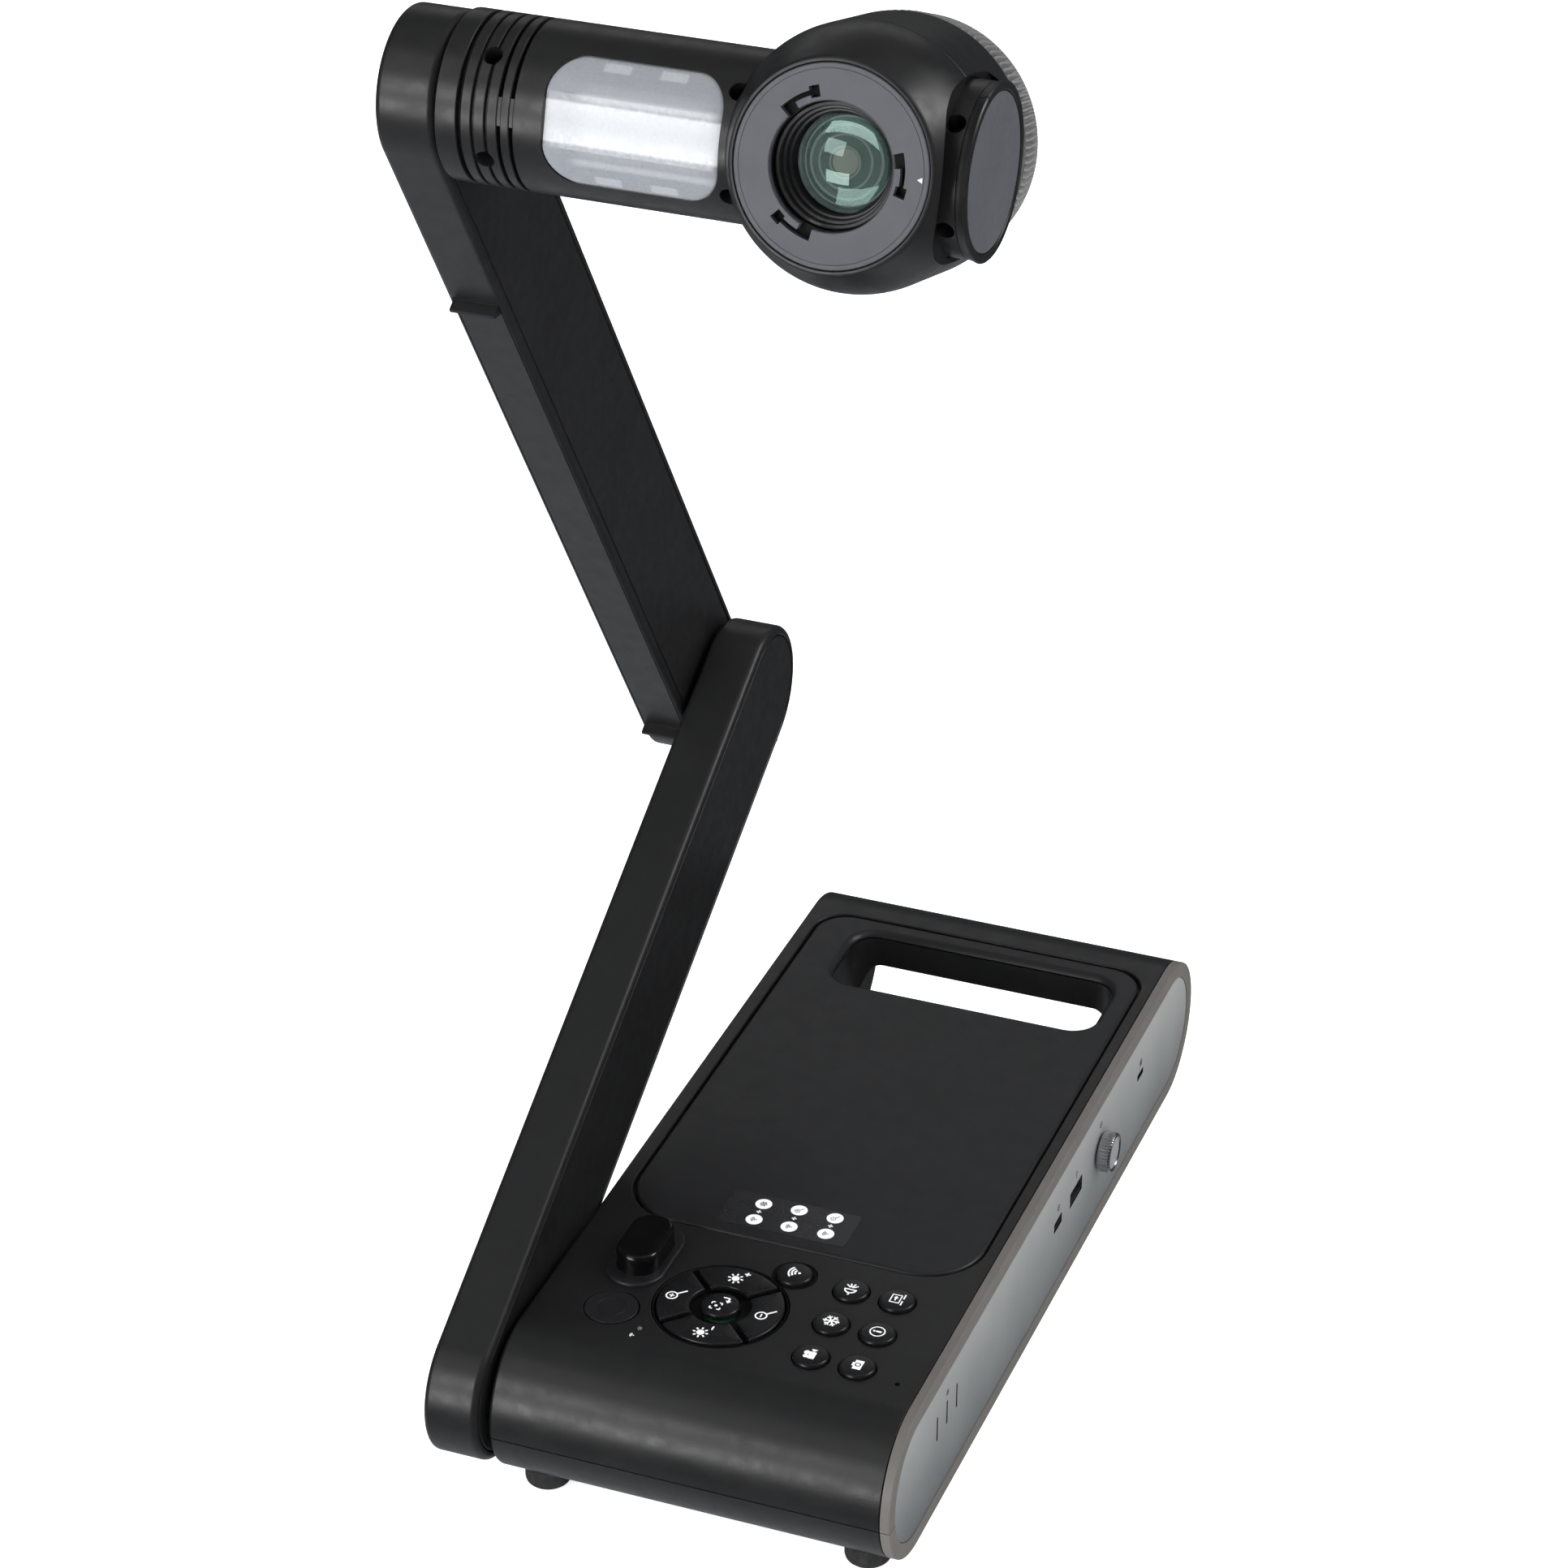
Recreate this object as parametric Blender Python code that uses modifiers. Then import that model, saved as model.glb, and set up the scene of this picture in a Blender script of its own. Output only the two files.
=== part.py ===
"""Desktop document camera: a flat base with keys and a carrying handle, two
folding arms on its left side, and a lamp tube that carries the camera head.

World frame: X to the right, Y to the back, Z up, metres. The keys face the
user at -Y. The origin is under the middle of the whole object, on the table.
"""
import math

import bmesh
import bpy
from mathutils import Matrix, Vector

# ---------------------------------------------------------------- dimensions
GAP = 0.0003                 # clearance between touching pieces
BIG = 0.5                    # size of a half-space cutter

# Base: a flat slab whose front and back ends are fully rounded
BASE_LEFT = -0.0561
BASE_WIDTH = 0.152
BASE_FRONT = -0.1774
BASE_LENGTH = 0.361
BASE_THICK = 0.059
FOOT_HEIGHT = 0.006
FOOT_RADIUS = 0.0085
BASE_WALL = 0.0035
PARTING_Z = 0.0317           # height of the line between the two shells
BEZEL_THICK = 0.0037
RIM_WIDTH = 0.006            # rim of the side bezel around its grey panel

BASE_RIGHT = BASE_LEFT + BASE_WIDTH
BASE_BACK = BASE_FRONT + BASE_LENGTH
BASE_ROUND = BASE_THICK / 2
BASE_MID_Z = FOOT_HEIGHT + BASE_ROUND
DECK_Z = FOOT_HEIGHT + BASE_THICK
SHELL_RIGHT = BASE_RIGHT - BEZEL_THICK - GAP

# Deck panel and carrying handle, seen from above
PANEL_THICK = 0.002
PANEL_X = (BASE_LEFT + 0.0068, BASE_LEFT + 0.1429)
PANEL_Y = (BASE_FRONT + 0.1042, BASE_FRONT + 0.3262)
PANEL_FRONT_ROUND = 0.023
PANEL_BACK_ROUND = 0.014
SLOT_X = (BASE_LEFT + 0.0245, BASE_LEFT + 0.1335)
SLOT_Y = (BASE_FRONT + 0.2790, BASE_FRONT + 0.3172)
SLOT_ROUND = 0.010
SCOOP_X = (BASE_LEFT + 0.0170, BASE_LEFT + 0.1410)

# Keys: x and y of each centre on the deck
KEY_RADIUS = 0.0066
KEY_PROUD = 0.0013
KEY_GRID_X = (BASE_LEFT + 0.1060, BASE_LEFT + 0.1236)
KEY_GRID_Y = (BASE_FRONT + 0.0859, BASE_FRONT + 0.0651, BASE_FRONT + 0.0444)
WIFI_KEY = (BASE_LEFT + 0.0835, BASE_FRONT + 0.0878)
POWER_KEY = (BASE_LEFT + 0.0287, BASE_FRONT + 0.0469)
POWER_RADIUS = 0.0098
NAV_CENTRE = (BASE_LEFT + 0.0651, BASE_FRONT + 0.0612)
NAV_RADIUS = 0.0246
NAV_KEY_OUTER = 0.0232
NAV_KEY_INNER = 0.0112
NAV_KEY_SPLIT = 0.0011       # half of the gap between two neighbouring keys
NAV_STEM_AT = 0.0170
STEM_RADIUS = 0.0024
AF_RADIUS = 0.0070
BOARD_Z = DECK_Z - 0.0080    # top of the keypad board

# Remote-control window beside the power key, status light, quick-key label
IR_CENTRE = (BASE_LEFT + 0.0284, BASE_FRONT + 0.0800)
IR_SIZE = (0.0166, 0.0292, 0.0090)
IR_FLANGE = (0.0222, 0.0400)
LED_AT = (BASE_LEFT + 0.0430, BASE_FRONT + 0.0388)
MIC_AT = (BASE_LEFT + 0.1398, BASE_FRONT + 0.0409)
LABEL_CENTRE = (BASE_LEFT + 0.0688, BASE_FRONT + 0.1205)
LABEL_SIZE = (0.0505, 0.0205, 0.0004)

# Ports: distance from the front of the base, height, width and height
PORT_Z = 0.0386
USB_SLOT = (BASE_FRONT + 0.2103, PORT_Z, 0.0150, 0.0068)
SYNC_SLOT = (BASE_FRONT + 0.1882, PORT_Z, 0.0094, 0.0046)
LOCK_SLOT = (BASE_FRONT + 0.2920, 0.0410, 0.0078, 0.0028)
VENT_Y = tuple(BASE_FRONT + 0.0614 + 0.0105 * (i - 1) for i in range(3))
VENT_SIZE = (0.0014, 0.0107)
VENT_Z = 0.0410
KNOB_AT = (BASE_FRONT + 0.2404, 0.0382)
KNOB_RADIUS = 0.0080
KNOB_PROUD = 0.0056

# Left connector panel
IO_Y = (BASE_FRONT + 0.1500, BASE_FRONT + 0.2440)
IO_Z = (0.0365, 0.0545)
IO_THICK = 0.0016
DC_Y = BASE_FRONT + 0.1630
HDMI_Y = BASE_FRONT + 0.1900
USB_B_Y = BASE_FRONT + 0.2230
IO_MID_Z = sum(IO_Z) / 2

# Arms: flat bars with round ends, one beside the other on the left
ARM_THICK = 0.0208
ARM_HALF = 0.0268            # half of the bar's width, and its end radius
ARM_WALL = 0.0024
ARM_COVER_INSET = 0.0034
ARM_COVER_THICK = 0.0020
LOWER_ARM_RIGHT = BASE_LEFT - 0.0018
UPPER_ARM_RIGHT = LOWER_ARM_RIGHT - ARM_THICK - 0.0020
LOWER_LENGTH = 0.3026
UPPER_LENGTH = 0.3877
LOWER_ANGLE = math.radians(28.95)     # above the horizontal, leaning back
UPPER_ANGLE = math.radians(122.69)    # from +Y, leaning forward over the base
PIVOT = Vector((0.0, BASE_FRONT + 0.0206, 0.0391))
ELBOW = PIVOT + LOWER_LENGTH * Vector((0, math.cos(LOWER_ANGLE), math.sin(LOWER_ANGLE)))
NECK = ELBOW + UPPER_LENGTH * Vector((0, math.cos(UPPER_ANGLE), math.sin(UPPER_ANGLE)))
SHAFT_RADIUS = 0.0080
CABLE_COVER_DEPTH = 0.0014
CABLE_START = 0.0045         # from the arm's lower hinge to the cable cover
CABLE_INSET = 0.0022         # from the arm's sides to the cable cover
CABLE_LIP = 0.0045
LOWER_LIPS = (0.3012,)       # distances along each arm
UPPER_LIPS = (0.0099, 0.3040)

# Head: a tube along X with a drum across it, whose axis is the lens axis
LENS_TILT = math.radians(15.6)        # lens axis above the horizontal
TUBE_RADIUS = 0.0278
TUBE_WALL = 0.0022
COLLAR_LEFT = UPPER_ARM_RIGHT + 0.0008
TUBE_LEFT = BASE_LEFT - 0.0153
TUBE_RIGHT = BASE_LEFT + 0.1500
POCKET_LEFT = BASE_LEFT + 0.1440      # the drum is cut flat here, around the tube's end
POCKET_RADIUS = 0.0349
GROOVE_X = tuple(BASE_LEFT + d for d in (-0.0109, -0.0063, -0.0018, 0.0024))
GROOVE_WIDTH = 0.0008
GROOVE_DEPTH = 0.0011
DRUM_X = BASE_LEFT + 0.1129
DRUM_FRONT = 0.0377          # from the tube's axis forward to the front plate
DRUM_RADIUS = 0.0425
DRUM_SPLIT = 0.0281          # these are measured back from the front plate
DRUM_BACK = 0.0662
RING_BACK = 0.0840
BARREL_BACK = 0.0770
FACE_RADIUS = 0.0334
PLATE_RADIUS = 0.0317
BORE_RADIUS = 0.0202
LAMP_X = (BASE_LEFT + 0.0130, BASE_LEFT + 0.0722)
LAMP_HALF_HEIGHT = 0.0201
LAMP_ROUND = 0.0115
CAP_RADIUS = 0.0286
CAP_DISC_RADIUS = 0.0253
CAP_RIGHT = BASE_LEFT + 0.1536
HEAD_SCREW_X = (BASE_LEFT - 0.0074, BASE_LEFT + 0.0755, BASE_LEFT + 0.1456)
HEAD_SCREW_ANGLE = math.radians(36.5)
HEAD_SCREW_RADIUS = 0.0029

# Facets of a half circle or of a full turn
HALF_STEPS = 12
TURN_STEPS = 40
KEY_STEPS = 20

PARTS = "document_camera"
CUTTERS = "cutters"

# A flat outline drawn in its own XY plane, stood up in the world's YZ plane
# with its thickness along X
SIDEWAYS = Matrix(((0, 0, 1, 0), (1, 0, 0, 0), (0, 1, 0, 0), (0, 0, 0, 1)))
# A turned shape whose axis of revolution, its own Z, points along +X
ALONG_X = Matrix.Rotation(math.radians(90), 4, "Y")
# The head's frame: its own Z is the lens axis pointing forward out of the lens
LENS_FRAME = Matrix.Rotation(math.radians(90) - LENS_TILT, 4, "X")
PLATE_CENTRE = Vector((DRUM_X, NECK.y, NECK.z)) + DRUM_FRONT * (LENS_FRAME @ Vector((0, 0, 1)))


# ------------------------------------------------------------------- helpers
def start_scene():
    for obj in list(bpy.data.objects):
        bpy.data.objects.remove(obj, do_unlink=True)
    for name in (PARTS, CUTTERS):
        coll = bpy.data.collections.get(name) or bpy.data.collections.new(name)
        if coll.name not in bpy.context.scene.collection.children:
            bpy.context.scene.collection.children.link(coll)


def material(name, colour, roughness, metallic=0.0, alpha=1.0):
    mat = bpy.data.materials.get(name) or bpy.data.materials.new(name)
    mat.use_nodes = True
    shader = mat.node_tree.nodes["Principled BSDF"]
    shader.inputs["Base Color"].default_value = (*colour, 1.0)
    shader.inputs["Roughness"].default_value = roughness
    shader.inputs["Metallic"].default_value = metallic
    shader.inputs["Alpha"].default_value = alpha
    return mat


def link(obj, mat=None):
    """Put a solid among the parts, or among the cutters when it has no material."""
    bpy.data.collections[PARTS if mat else CUTTERS].objects.link(obj)
    if mat:
        obj.data.materials.clear()
        obj.data.materials.append(mat)
    else:
        obj.hide_render = True
        obj.display_type = "WIRE"
    return obj


def empty(name, location, parent=None):
    """A joint's frame: it stands on the joint's axis and carries what moves."""
    obj = bpy.data.objects.new(name, None)
    bpy.data.collections[PARTS].objects.link(obj)
    obj.matrix_world = Matrix.Translation(location)
    return attach(obj, parent)


def attach(obj, parent):
    """Parent an object without moving it."""
    if parent is not None:
        bpy.context.view_layer.update()
        obj.parent = parent
        obj.matrix_parent_inverse = parent.matrix_world.inverted()
    return obj


def from_bmesh(name, bm, matrix, mat):
    mesh = bpy.data.meshes.new(name)
    bm.to_mesh(mesh)
    bm.free()
    obj = link(bpy.data.objects.new(name, mesh), mat)
    obj.matrix_world = matrix
    return obj


def block(name, low, high, mat=None, matrix=Matrix.Identity(4)):
    """A box between two corners of the matrix's frame."""
    low, high = Vector(low), Vector(high)
    bm = bmesh.new()
    bmesh.ops.create_cube(bm, size=1.0)
    bmesh.ops.scale(bm, vec=high - low, verts=bm.verts)
    return from_bmesh(name, bm, matrix @ Matrix.Translation((low + high) / 2), mat)


def rod(name, radius, start, length, mat=None, matrix=Matrix.Identity(4), steps=KEY_STEPS):
    """A cylinder from a start point along the matrix's own Z."""
    bm = bmesh.new()
    bmesh.ops.create_cone(bm, cap_ends=True, segments=steps, radius1=radius, radius2=radius,
                          depth=length)
    place = matrix @ Matrix.Translation(Vector(start) + Vector((0, 0, length / 2)))
    obj = from_bmesh(name, bm, place, mat)
    smooth(obj)
    return obj


def plate(name, outlines, thickness, matrix, mat=None):
    """A flat piece: outlines filled in the XY plane, thickness from 0 up along Z."""
    curve = bpy.data.curves.new(name, "CURVE")
    curve.dimensions = "2D"
    curve.fill_mode = "BOTH"
    curve.extrude = thickness / 2
    for points in outlines:
        spline = curve.splines.new("POLY")
        spline.points.add(len(points) - 1)
        for point, (x, y) in zip(spline.points, points):
            point.co = (x, y, 0.0, 1.0)
        spline.use_cyclic_u = True
    drawn = bpy.data.objects.new(name + "_outline", curve)
    bpy.data.collections[CUTTERS].objects.link(drawn)
    graph = bpy.context.evaluated_depsgraph_get()
    mesh = bpy.data.meshes.new_from_object(drawn.evaluated_get(graph))
    bpy.data.objects.remove(drawn, do_unlink=True)
    bm = bmesh.new()
    bm.from_mesh(mesh)
    bmesh.ops.remove_doubles(bm, verts=bm.verts, dist=1e-6)
    bmesh.ops.translate(bm, vec=(0, 0, thickness / 2), verts=bm.verts)
    return from_bmesh(name, bm, matrix, mat)


def turned(name, profile, matrix, mat=None, steps=TURN_STEPS):
    """Revolve a profile of (radius, height) about the matrix's own Z, top to bottom."""
    closed = profile[0] == profile[-1]
    bm = bmesh.new()
    ends = profile[:len(profile) - closed]
    verts = [bm.verts.new((radius, 0.0, height)) for radius, height in ends]
    for first, second in zip(verts, verts[1:] + verts[:closed]):
        bm.edges.new((first, second))
    obj = from_bmesh(name, bm, matrix, mat)
    screw = obj.modifiers.new("Screw", "SCREW")
    screw.steps = steps
    screw.render_steps = steps
    screw.use_merge_vertices = True
    screw.merge_threshold = 1e-6
    screw.use_smooth_shade = True
    return obj


def ring_profile(inner, outer, top, bottom):
    """Closed profile of a plain ring, for a turned piece with a hole."""
    return [(inner, top), (outer, top), (outer, bottom), (inner, bottom), (inner, top)]


def boolean(target, tool, operation):
    """Cut, join or intersect, then close the seams before the next step reads them."""
    modifier = target.modifiers.new(operation.title(), "BOOLEAN")
    modifier.operation = operation
    modifier.object = tool
    modifier.solver = "EXACT"
    target.modifiers.new("Weld", "WELD").merge_threshold = 1e-6
    return target


def cut(target, *tools):
    for tool in tools:
        boolean(target, tool, "DIFFERENCE")
    return target


def join(target, *tools):
    for tool in tools:
        boolean(target, tool, "UNION")
    return target


def soften(obj, width, segments=1, angle=50):
    bevel = obj.modifiers.new("Bevel", "BEVEL")
    bevel.width = width
    bevel.segments = segments
    bevel.limit_method = "ANGLE"
    bevel.angle_limit = math.radians(angle)
    return obj


def smooth(obj):
    obj.data.shade_smooth()
    obj.data.set_sharp_from_angle(angle=math.radians(35))
    return obj


# ------------------------------------------------------------------ outlines
def arc(centre, radius, first, last, steps):
    """Points on a circle from one angle to another, in degrees, both included."""
    angles = [math.radians(first + (last - first) * i / steps) for i in range(steps + 1)]
    return [(centre[0] + radius * math.cos(a), centre[1] + radius * math.sin(a)) for a in angles]


def stadium(length, radius, start=0.0, steps=HALF_STEPS):
    """A bar with round ends: end centres at start and start + length on the X axis."""
    near = arc((start, 0.0), radius, 90, 270, steps)
    far = arc((start + length, 0.0), radius, -90, 90, steps)
    return near + far


def rounded_box(x_range, y_range, radii, steps=6):
    """A rectangle with its own radius at each corner, counter-clockwise from low x, low y."""
    (x0, x1), (y0, y1) = x_range, y_range
    r0, r1, r2, r3 = radii
    return (arc((x0 + r0, y0 + r0), r0, 180, 270, steps)
            + arc((x1 - r1, y0 + r1), r1, 270, 360, steps)
            + arc((x1 - r2, y1 - r2), r2, 0, 90, steps)
            + arc((x0 + r3, y1 - r3), r3, 90, 180, steps))


def grown(x_range, by):
    return (x_range[0] - by, x_range[1] + by)


def side_plate(name, points, left, right, mat=None):
    """A YZ outline in world coordinates, as a solid between two X positions."""
    return plate(name, [points], right - left, Matrix.Translation((left, 0, 0)) @ SIDEWAYS, mat)


def base_profile(inset=0.0, steps=HALF_STEPS):
    """The base seen from its side, in world Y and Z."""
    start = BASE_FRONT + BASE_ROUND
    length = BASE_LENGTH - BASE_THICK
    points = stadium(length, BASE_ROUND - inset, start, steps)
    return [(y, z + BASE_MID_Z) for y, z in points]


# ---------------------------------------------------------------------- base
def handle_core(name, wall):
    """The solid part around the handle opening, left standing inside a shell."""
    return block(name,
                 (SCOOP_X[0] - wall, SLOT_Y[0] - wall - 0.002, -0.01),
                 (SCOOP_X[1] + wall, BASE_BACK + 0.02, DECK_Z + 0.02))


def handle_scoop():
    """Finger room below the handle bar, open to the back and to the table."""
    outline = [(SLOT_Y[0] - 0.002, -0.01), (SLOT_Y[0] - 0.002, 0.0362),
               (SLOT_Y[1] - 0.0060, 0.0362), (SLOT_Y[1] + 0.0008, 0.0530),
               (BASE_BACK + 0.0020, 0.0260), (BASE_BACK + 0.0100, -0.01)]
    return side_plate("handle_scoop_cut", outline, SCOOP_X[0], SCOOP_X[1])


def base_cavity(name):
    cavity = side_plate(name, base_profile(BASE_WALL), BASE_LEFT + BASE_WALL, SHELL_RIGHT + 0.01)
    return cut(cavity, handle_core(name + "_core", BASE_WALL))


def deck_hole(name, centre, radius, steps=KEY_STEPS):
    return rod(name, radius, (centre[0], centre[1], DECK_Z - 0.006), 0.012, steps=steps)


def base_upper_shell(mat, scoop):
    shell = side_plate("base_upper_shell", base_profile(), BASE_LEFT, SHELL_RIGHT, mat)
    below = block("below_parting_cut", (-BIG, -BIG, -BIG), (BIG, BIG, PARTING_Z + GAP))
    recess = plate("deck_panel_recess",
                   [rounded_box(grown(PANEL_X, GAP), grown(PANEL_Y, GAP),
                                (PANEL_FRONT_ROUND, PANEL_FRONT_ROUND,
                                 PANEL_BACK_ROUND, PANEL_BACK_ROUND))],
                   0.01, Matrix.Translation((0, 0, DECK_Z - PANEL_THICK - GAP)))
    slot = plate("handle_slot_cut", [rounded_box(SLOT_X, SLOT_Y, (SLOT_ROUND,) * 4, 4)],
                 0.06, Matrix.Translation((0, 0, DECK_Z - 0.05)))
    cut(shell, below, base_cavity("upper_cavity"), scoop, recess, slot)
    for i, centre in enumerate(key_centres().values()):
        cut(shell, deck_hole(f"key_hole_{i}", centre, KEY_RADIUS + GAP))
    cut(shell, deck_hole("power_hole", POWER_KEY, POWER_RADIUS + GAP))
    cut(shell, deck_hole("nav_hole", NAV_CENTRE, NAV_RADIUS + GAP, TURN_STEPS))
    cut(shell, deck_hole("led_hole", LED_AT, 0.0010 + GAP, 10))
    cut(shell, deck_hole("mic_hole", MIC_AT, 0.0008, 10))
    cut(shell, block("ir_hole", (IR_CENTRE[0] - 0.006, IR_CENTRE[1] - 0.011, DECK_Z - 0.006),
                     (IR_CENTRE[0] + 0.006, IR_CENTRE[1] + 0.011, DECK_Z + 0.006)))
    cut(shell, shaft_hole("upper_shell_shaft_hole"), io_recess("upper_io_cut"))
    return shell


def base_lower_shell(mat, scoop):
    shell = side_plate("base_lower_shell", base_profile(), BASE_LEFT, SHELL_RIGHT, mat)
    above = block("above_parting_cut", (-BIG, -BIG, PARTING_Z), (BIG, BIG, BIG))
    cut(shell, above, base_cavity("lower_cavity"), scoop)
    for i, (x, y) in enumerate(foot_places()):
        cut(shell, rod(f"foot_pocket_{i}", FOOT_RADIUS + GAP,
                       (x, y, -0.002), FOOT_HEIGHT + 0.0045))
    cut(shell, shaft_hole("lower_shell_shaft_hole"))
    return shell


def shaft_hole(name):
    """Clearance hole along X for the lower arm's hinge pin."""
    place = Matrix.Translation((BASE_LEFT - 0.01, PIVOT.y, PIVOT.z)) @ ALONG_X
    return rod(name, SHAFT_RADIUS + GAP, (0, 0, 0), 0.03, matrix=place)


def io_recess(name):
    return block(name, (BASE_LEFT - 0.01, IO_Y[0] - GAP, IO_Z[0] - GAP),
                 (BASE_LEFT + BASE_WALL + 0.001, IO_Y[1] + GAP, IO_Z[1] + GAP))


def foot_places():
    """Two feet under the rounded front edge and two just in front of the handle's scoop."""
    inset_x = 0.0125
    return [(x, y)
            for x in (BASE_LEFT + inset_x, BASE_RIGHT - inset_x - BEZEL_THICK)
            for y in (BASE_FRONT + 0.0238, SLOT_Y[0] - 0.0150)]


def feet(mat):
    profile = [(0, FOOT_HEIGHT + 0.0022), (FOOT_RADIUS, FOOT_HEIGHT + 0.0022),
               (FOOT_RADIUS, 0.0016), (FOOT_RADIUS - 0.0005, 0.0005),
               (FOOT_RADIUS - 0.0016, 0.0), (0, 0.0)]
    return [turned(f"foot_{i + 1}", profile, Matrix.Translation((x, y, 0)), mat, KEY_STEPS)
            for i, (x, y) in enumerate(foot_places())]


def deck_panel(mat):
    outline = rounded_box(PANEL_X, PANEL_Y, (PANEL_FRONT_ROUND, PANEL_FRONT_ROUND,
                                             PANEL_BACK_ROUND, PANEL_BACK_ROUND))
    opening = rounded_box(SLOT_X, SLOT_Y, (SLOT_ROUND,) * 4, 4)
    panel = plate("deck_panel", [outline, opening], PANEL_THICK,
                  Matrix.Translation((0, 0, DECK_Z - PANEL_THICK)), mat)
    soften(panel, 0.0004)
    seat = [grown((c - s / 2, c + s / 2), GAP) for c, s in zip(LABEL_CENTRE, LABEL_SIZE[:2])]
    return cut(panel, plate("label_seat", [rounded_box(*seat, (0.0015,) * 4, 3)], 0.004,
                            Matrix.Translation((0, 0, DECK_Z - LABEL_SIZE[2] - 2 * GAP))))


def port_cut(name, slot, left=SHELL_RIGHT - 0.01, right=BASE_RIGHT + 0.01):
    y, z, width, height = slot
    return block(name, (left, y - width / 2, z - height / 2), (right, y + width / 2, z + height / 2))


def side_cutters(tag):
    """Openings that go through both the bezel and the panel on the right side."""
    tools = [port_cut("usb_cut_" + tag, USB_SLOT), port_cut("sync_cut_" + tag, SYNC_SLOT),
             port_cut("lock_cut_" + tag, LOCK_SLOT)]
    for i, y in enumerate(VENT_Y):
        tools.append(port_cut(f"vent_cut_{tag}_{i}", (y, VENT_Z, *VENT_SIZE)))
    knob = Matrix.Translation((SHELL_RIGHT - 0.01, *KNOB_AT)) @ ALONG_X
    tools.append(rod("knob_cut_" + tag, 0.0030 + GAP, (0, 0, 0), 0.03, matrix=knob, steps=16))
    return tools


def side_bezel(mat):
    bezel = side_plate("side_bezel", base_profile(), SHELL_RIGHT + GAP, BASE_RIGHT, mat)
    recess = side_plate("side_recess", base_profile(RIM_WIDTH - GAP),
                        BASE_RIGHT - 0.0020, BASE_RIGHT + 0.01)
    return cut(bezel, recess, *side_cutters("bezel"))


def side_panel(mat):
    panel = side_plate("side_panel", base_profile(RIM_WIDTH), BASE_RIGHT - 0.0020 + GAP,
                       BASE_RIGHT - 0.0004, mat)
    return cut(panel, *side_cutters("panel"))


def side_knob(mat):
    place = Matrix.Translation((BASE_RIGHT, *KNOB_AT)) @ ALONG_X
    profile = [(0, KNOB_PROUD), (KNOB_RADIUS - 0.0006, KNOB_PROUD),
               (KNOB_RADIUS, KNOB_PROUD - 0.0006), (KNOB_RADIUS, 0.0003),
               (0.0030, 0.0003), (0.0030, -0.0080), (0, -0.0080)]
    return turned("side_knob", profile, place, mat, 24)


def socket(name, at_x, slot, depth, outward, mat, tongue):
    """A metal port: a shell open to the outside with a contact tongue inside."""
    y, z, width, height = slot
    inner = at_x - outward * depth
    low_x, high_x = sorted((at_x, inner))
    wall = 0.0004
    body = block(name, (low_x, y - width / 2, z - height / 2),
                 (high_x, y + width / 2, z + height / 2), mat)
    mouth = (at_x + outward * 0.002, inner + outward * 0.0012)
    cut(body, block(name + "_mouth",
                    (min(mouth), y - width / 2 + wall, z - height / 2 + wall),
                    (max(mouth), y + width / 2 - wall, z + height / 2 - wall)))
    reach = (inner + outward * 0.0004, at_x - outward * 0.0015)
    half_width, low_z, high_z = tongue
    return join(body, block(name + "_tongue", (min(reach), y - half_width, z + low_z),
                            (max(reach), y + half_width, z + high_z)))


def right_sockets(mat):
    shrink = 2 * GAP + 0.0010
    usb = (USB_SLOT[0], USB_SLOT[1], USB_SLOT[2] - shrink, USB_SLOT[3] - shrink)
    sync = (SYNC_SLOT[0], SYNC_SLOT[1], SYNC_SLOT[2] - shrink, SYNC_SLOT[3] - shrink)
    face = BASE_RIGHT - 0.0008
    return [socket("usb_socket", face, usb, 0.0130, 1, mat, (0.0055, 0.0002, 0.0018)),
            socket("sync_socket", face, sync, 0.0070, 1, mat, (0.0026, -0.0004, 0.0004))]


def io_panel(mat):
    outline = rounded_box(IO_Y, IO_Z, (0.0012,) * 4, 2)
    panel = side_plate("io_panel", outline, BASE_LEFT + 0.0003, BASE_LEFT + 0.0003 + IO_THICK, mat)
    span = dict(left=BASE_LEFT - 0.01, right=BASE_LEFT + 0.01)
    dc = Matrix.Translation((BASE_LEFT - 0.01, DC_Y, IO_MID_Z)) @ ALONG_X
    return cut(panel,
               port_cut("hdmi_cut", (HDMI_Y, IO_MID_Z, 0.0162, 0.0068), **span),
               port_cut("usb_b_cut", (USB_B_Y, IO_MID_Z, 0.0132, 0.0122), **span),
               rod("dc_cut", 0.0048, (0, 0, 0), 0.02, matrix=dc))


def left_sockets(metal, black):
    face = BASE_LEFT + 0.0005
    hdmi = socket("hdmi_socket", face, (HDMI_Y, IO_MID_Z, 0.0154, 0.0060), 0.0110, -1, metal,
                  (0.0055, -0.0004, 0.0006))
    usb_b = socket("usb_b_socket", face, (USB_B_Y, IO_MID_Z, 0.0122, 0.0112), 0.0150, -1, metal,
                   (0.0028, -0.0018, 0.0018))
    radius = 0.0044
    place = Matrix.Translation((face, DC_Y, IO_MID_Z)) @ ALONG_X
    inlet = turned("dc_inlet", [(0, 0.0018), (0.0010, 0.0018), (0.0010, 0.0100), (0.0032, 0.0100),
                                (0.0032, 0.0), (radius, 0.0), (radius, 0.0118), (0, 0.0118)][::-1],
                   place, black, 16)
    return [hdmi, usb_b, inlet]


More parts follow.
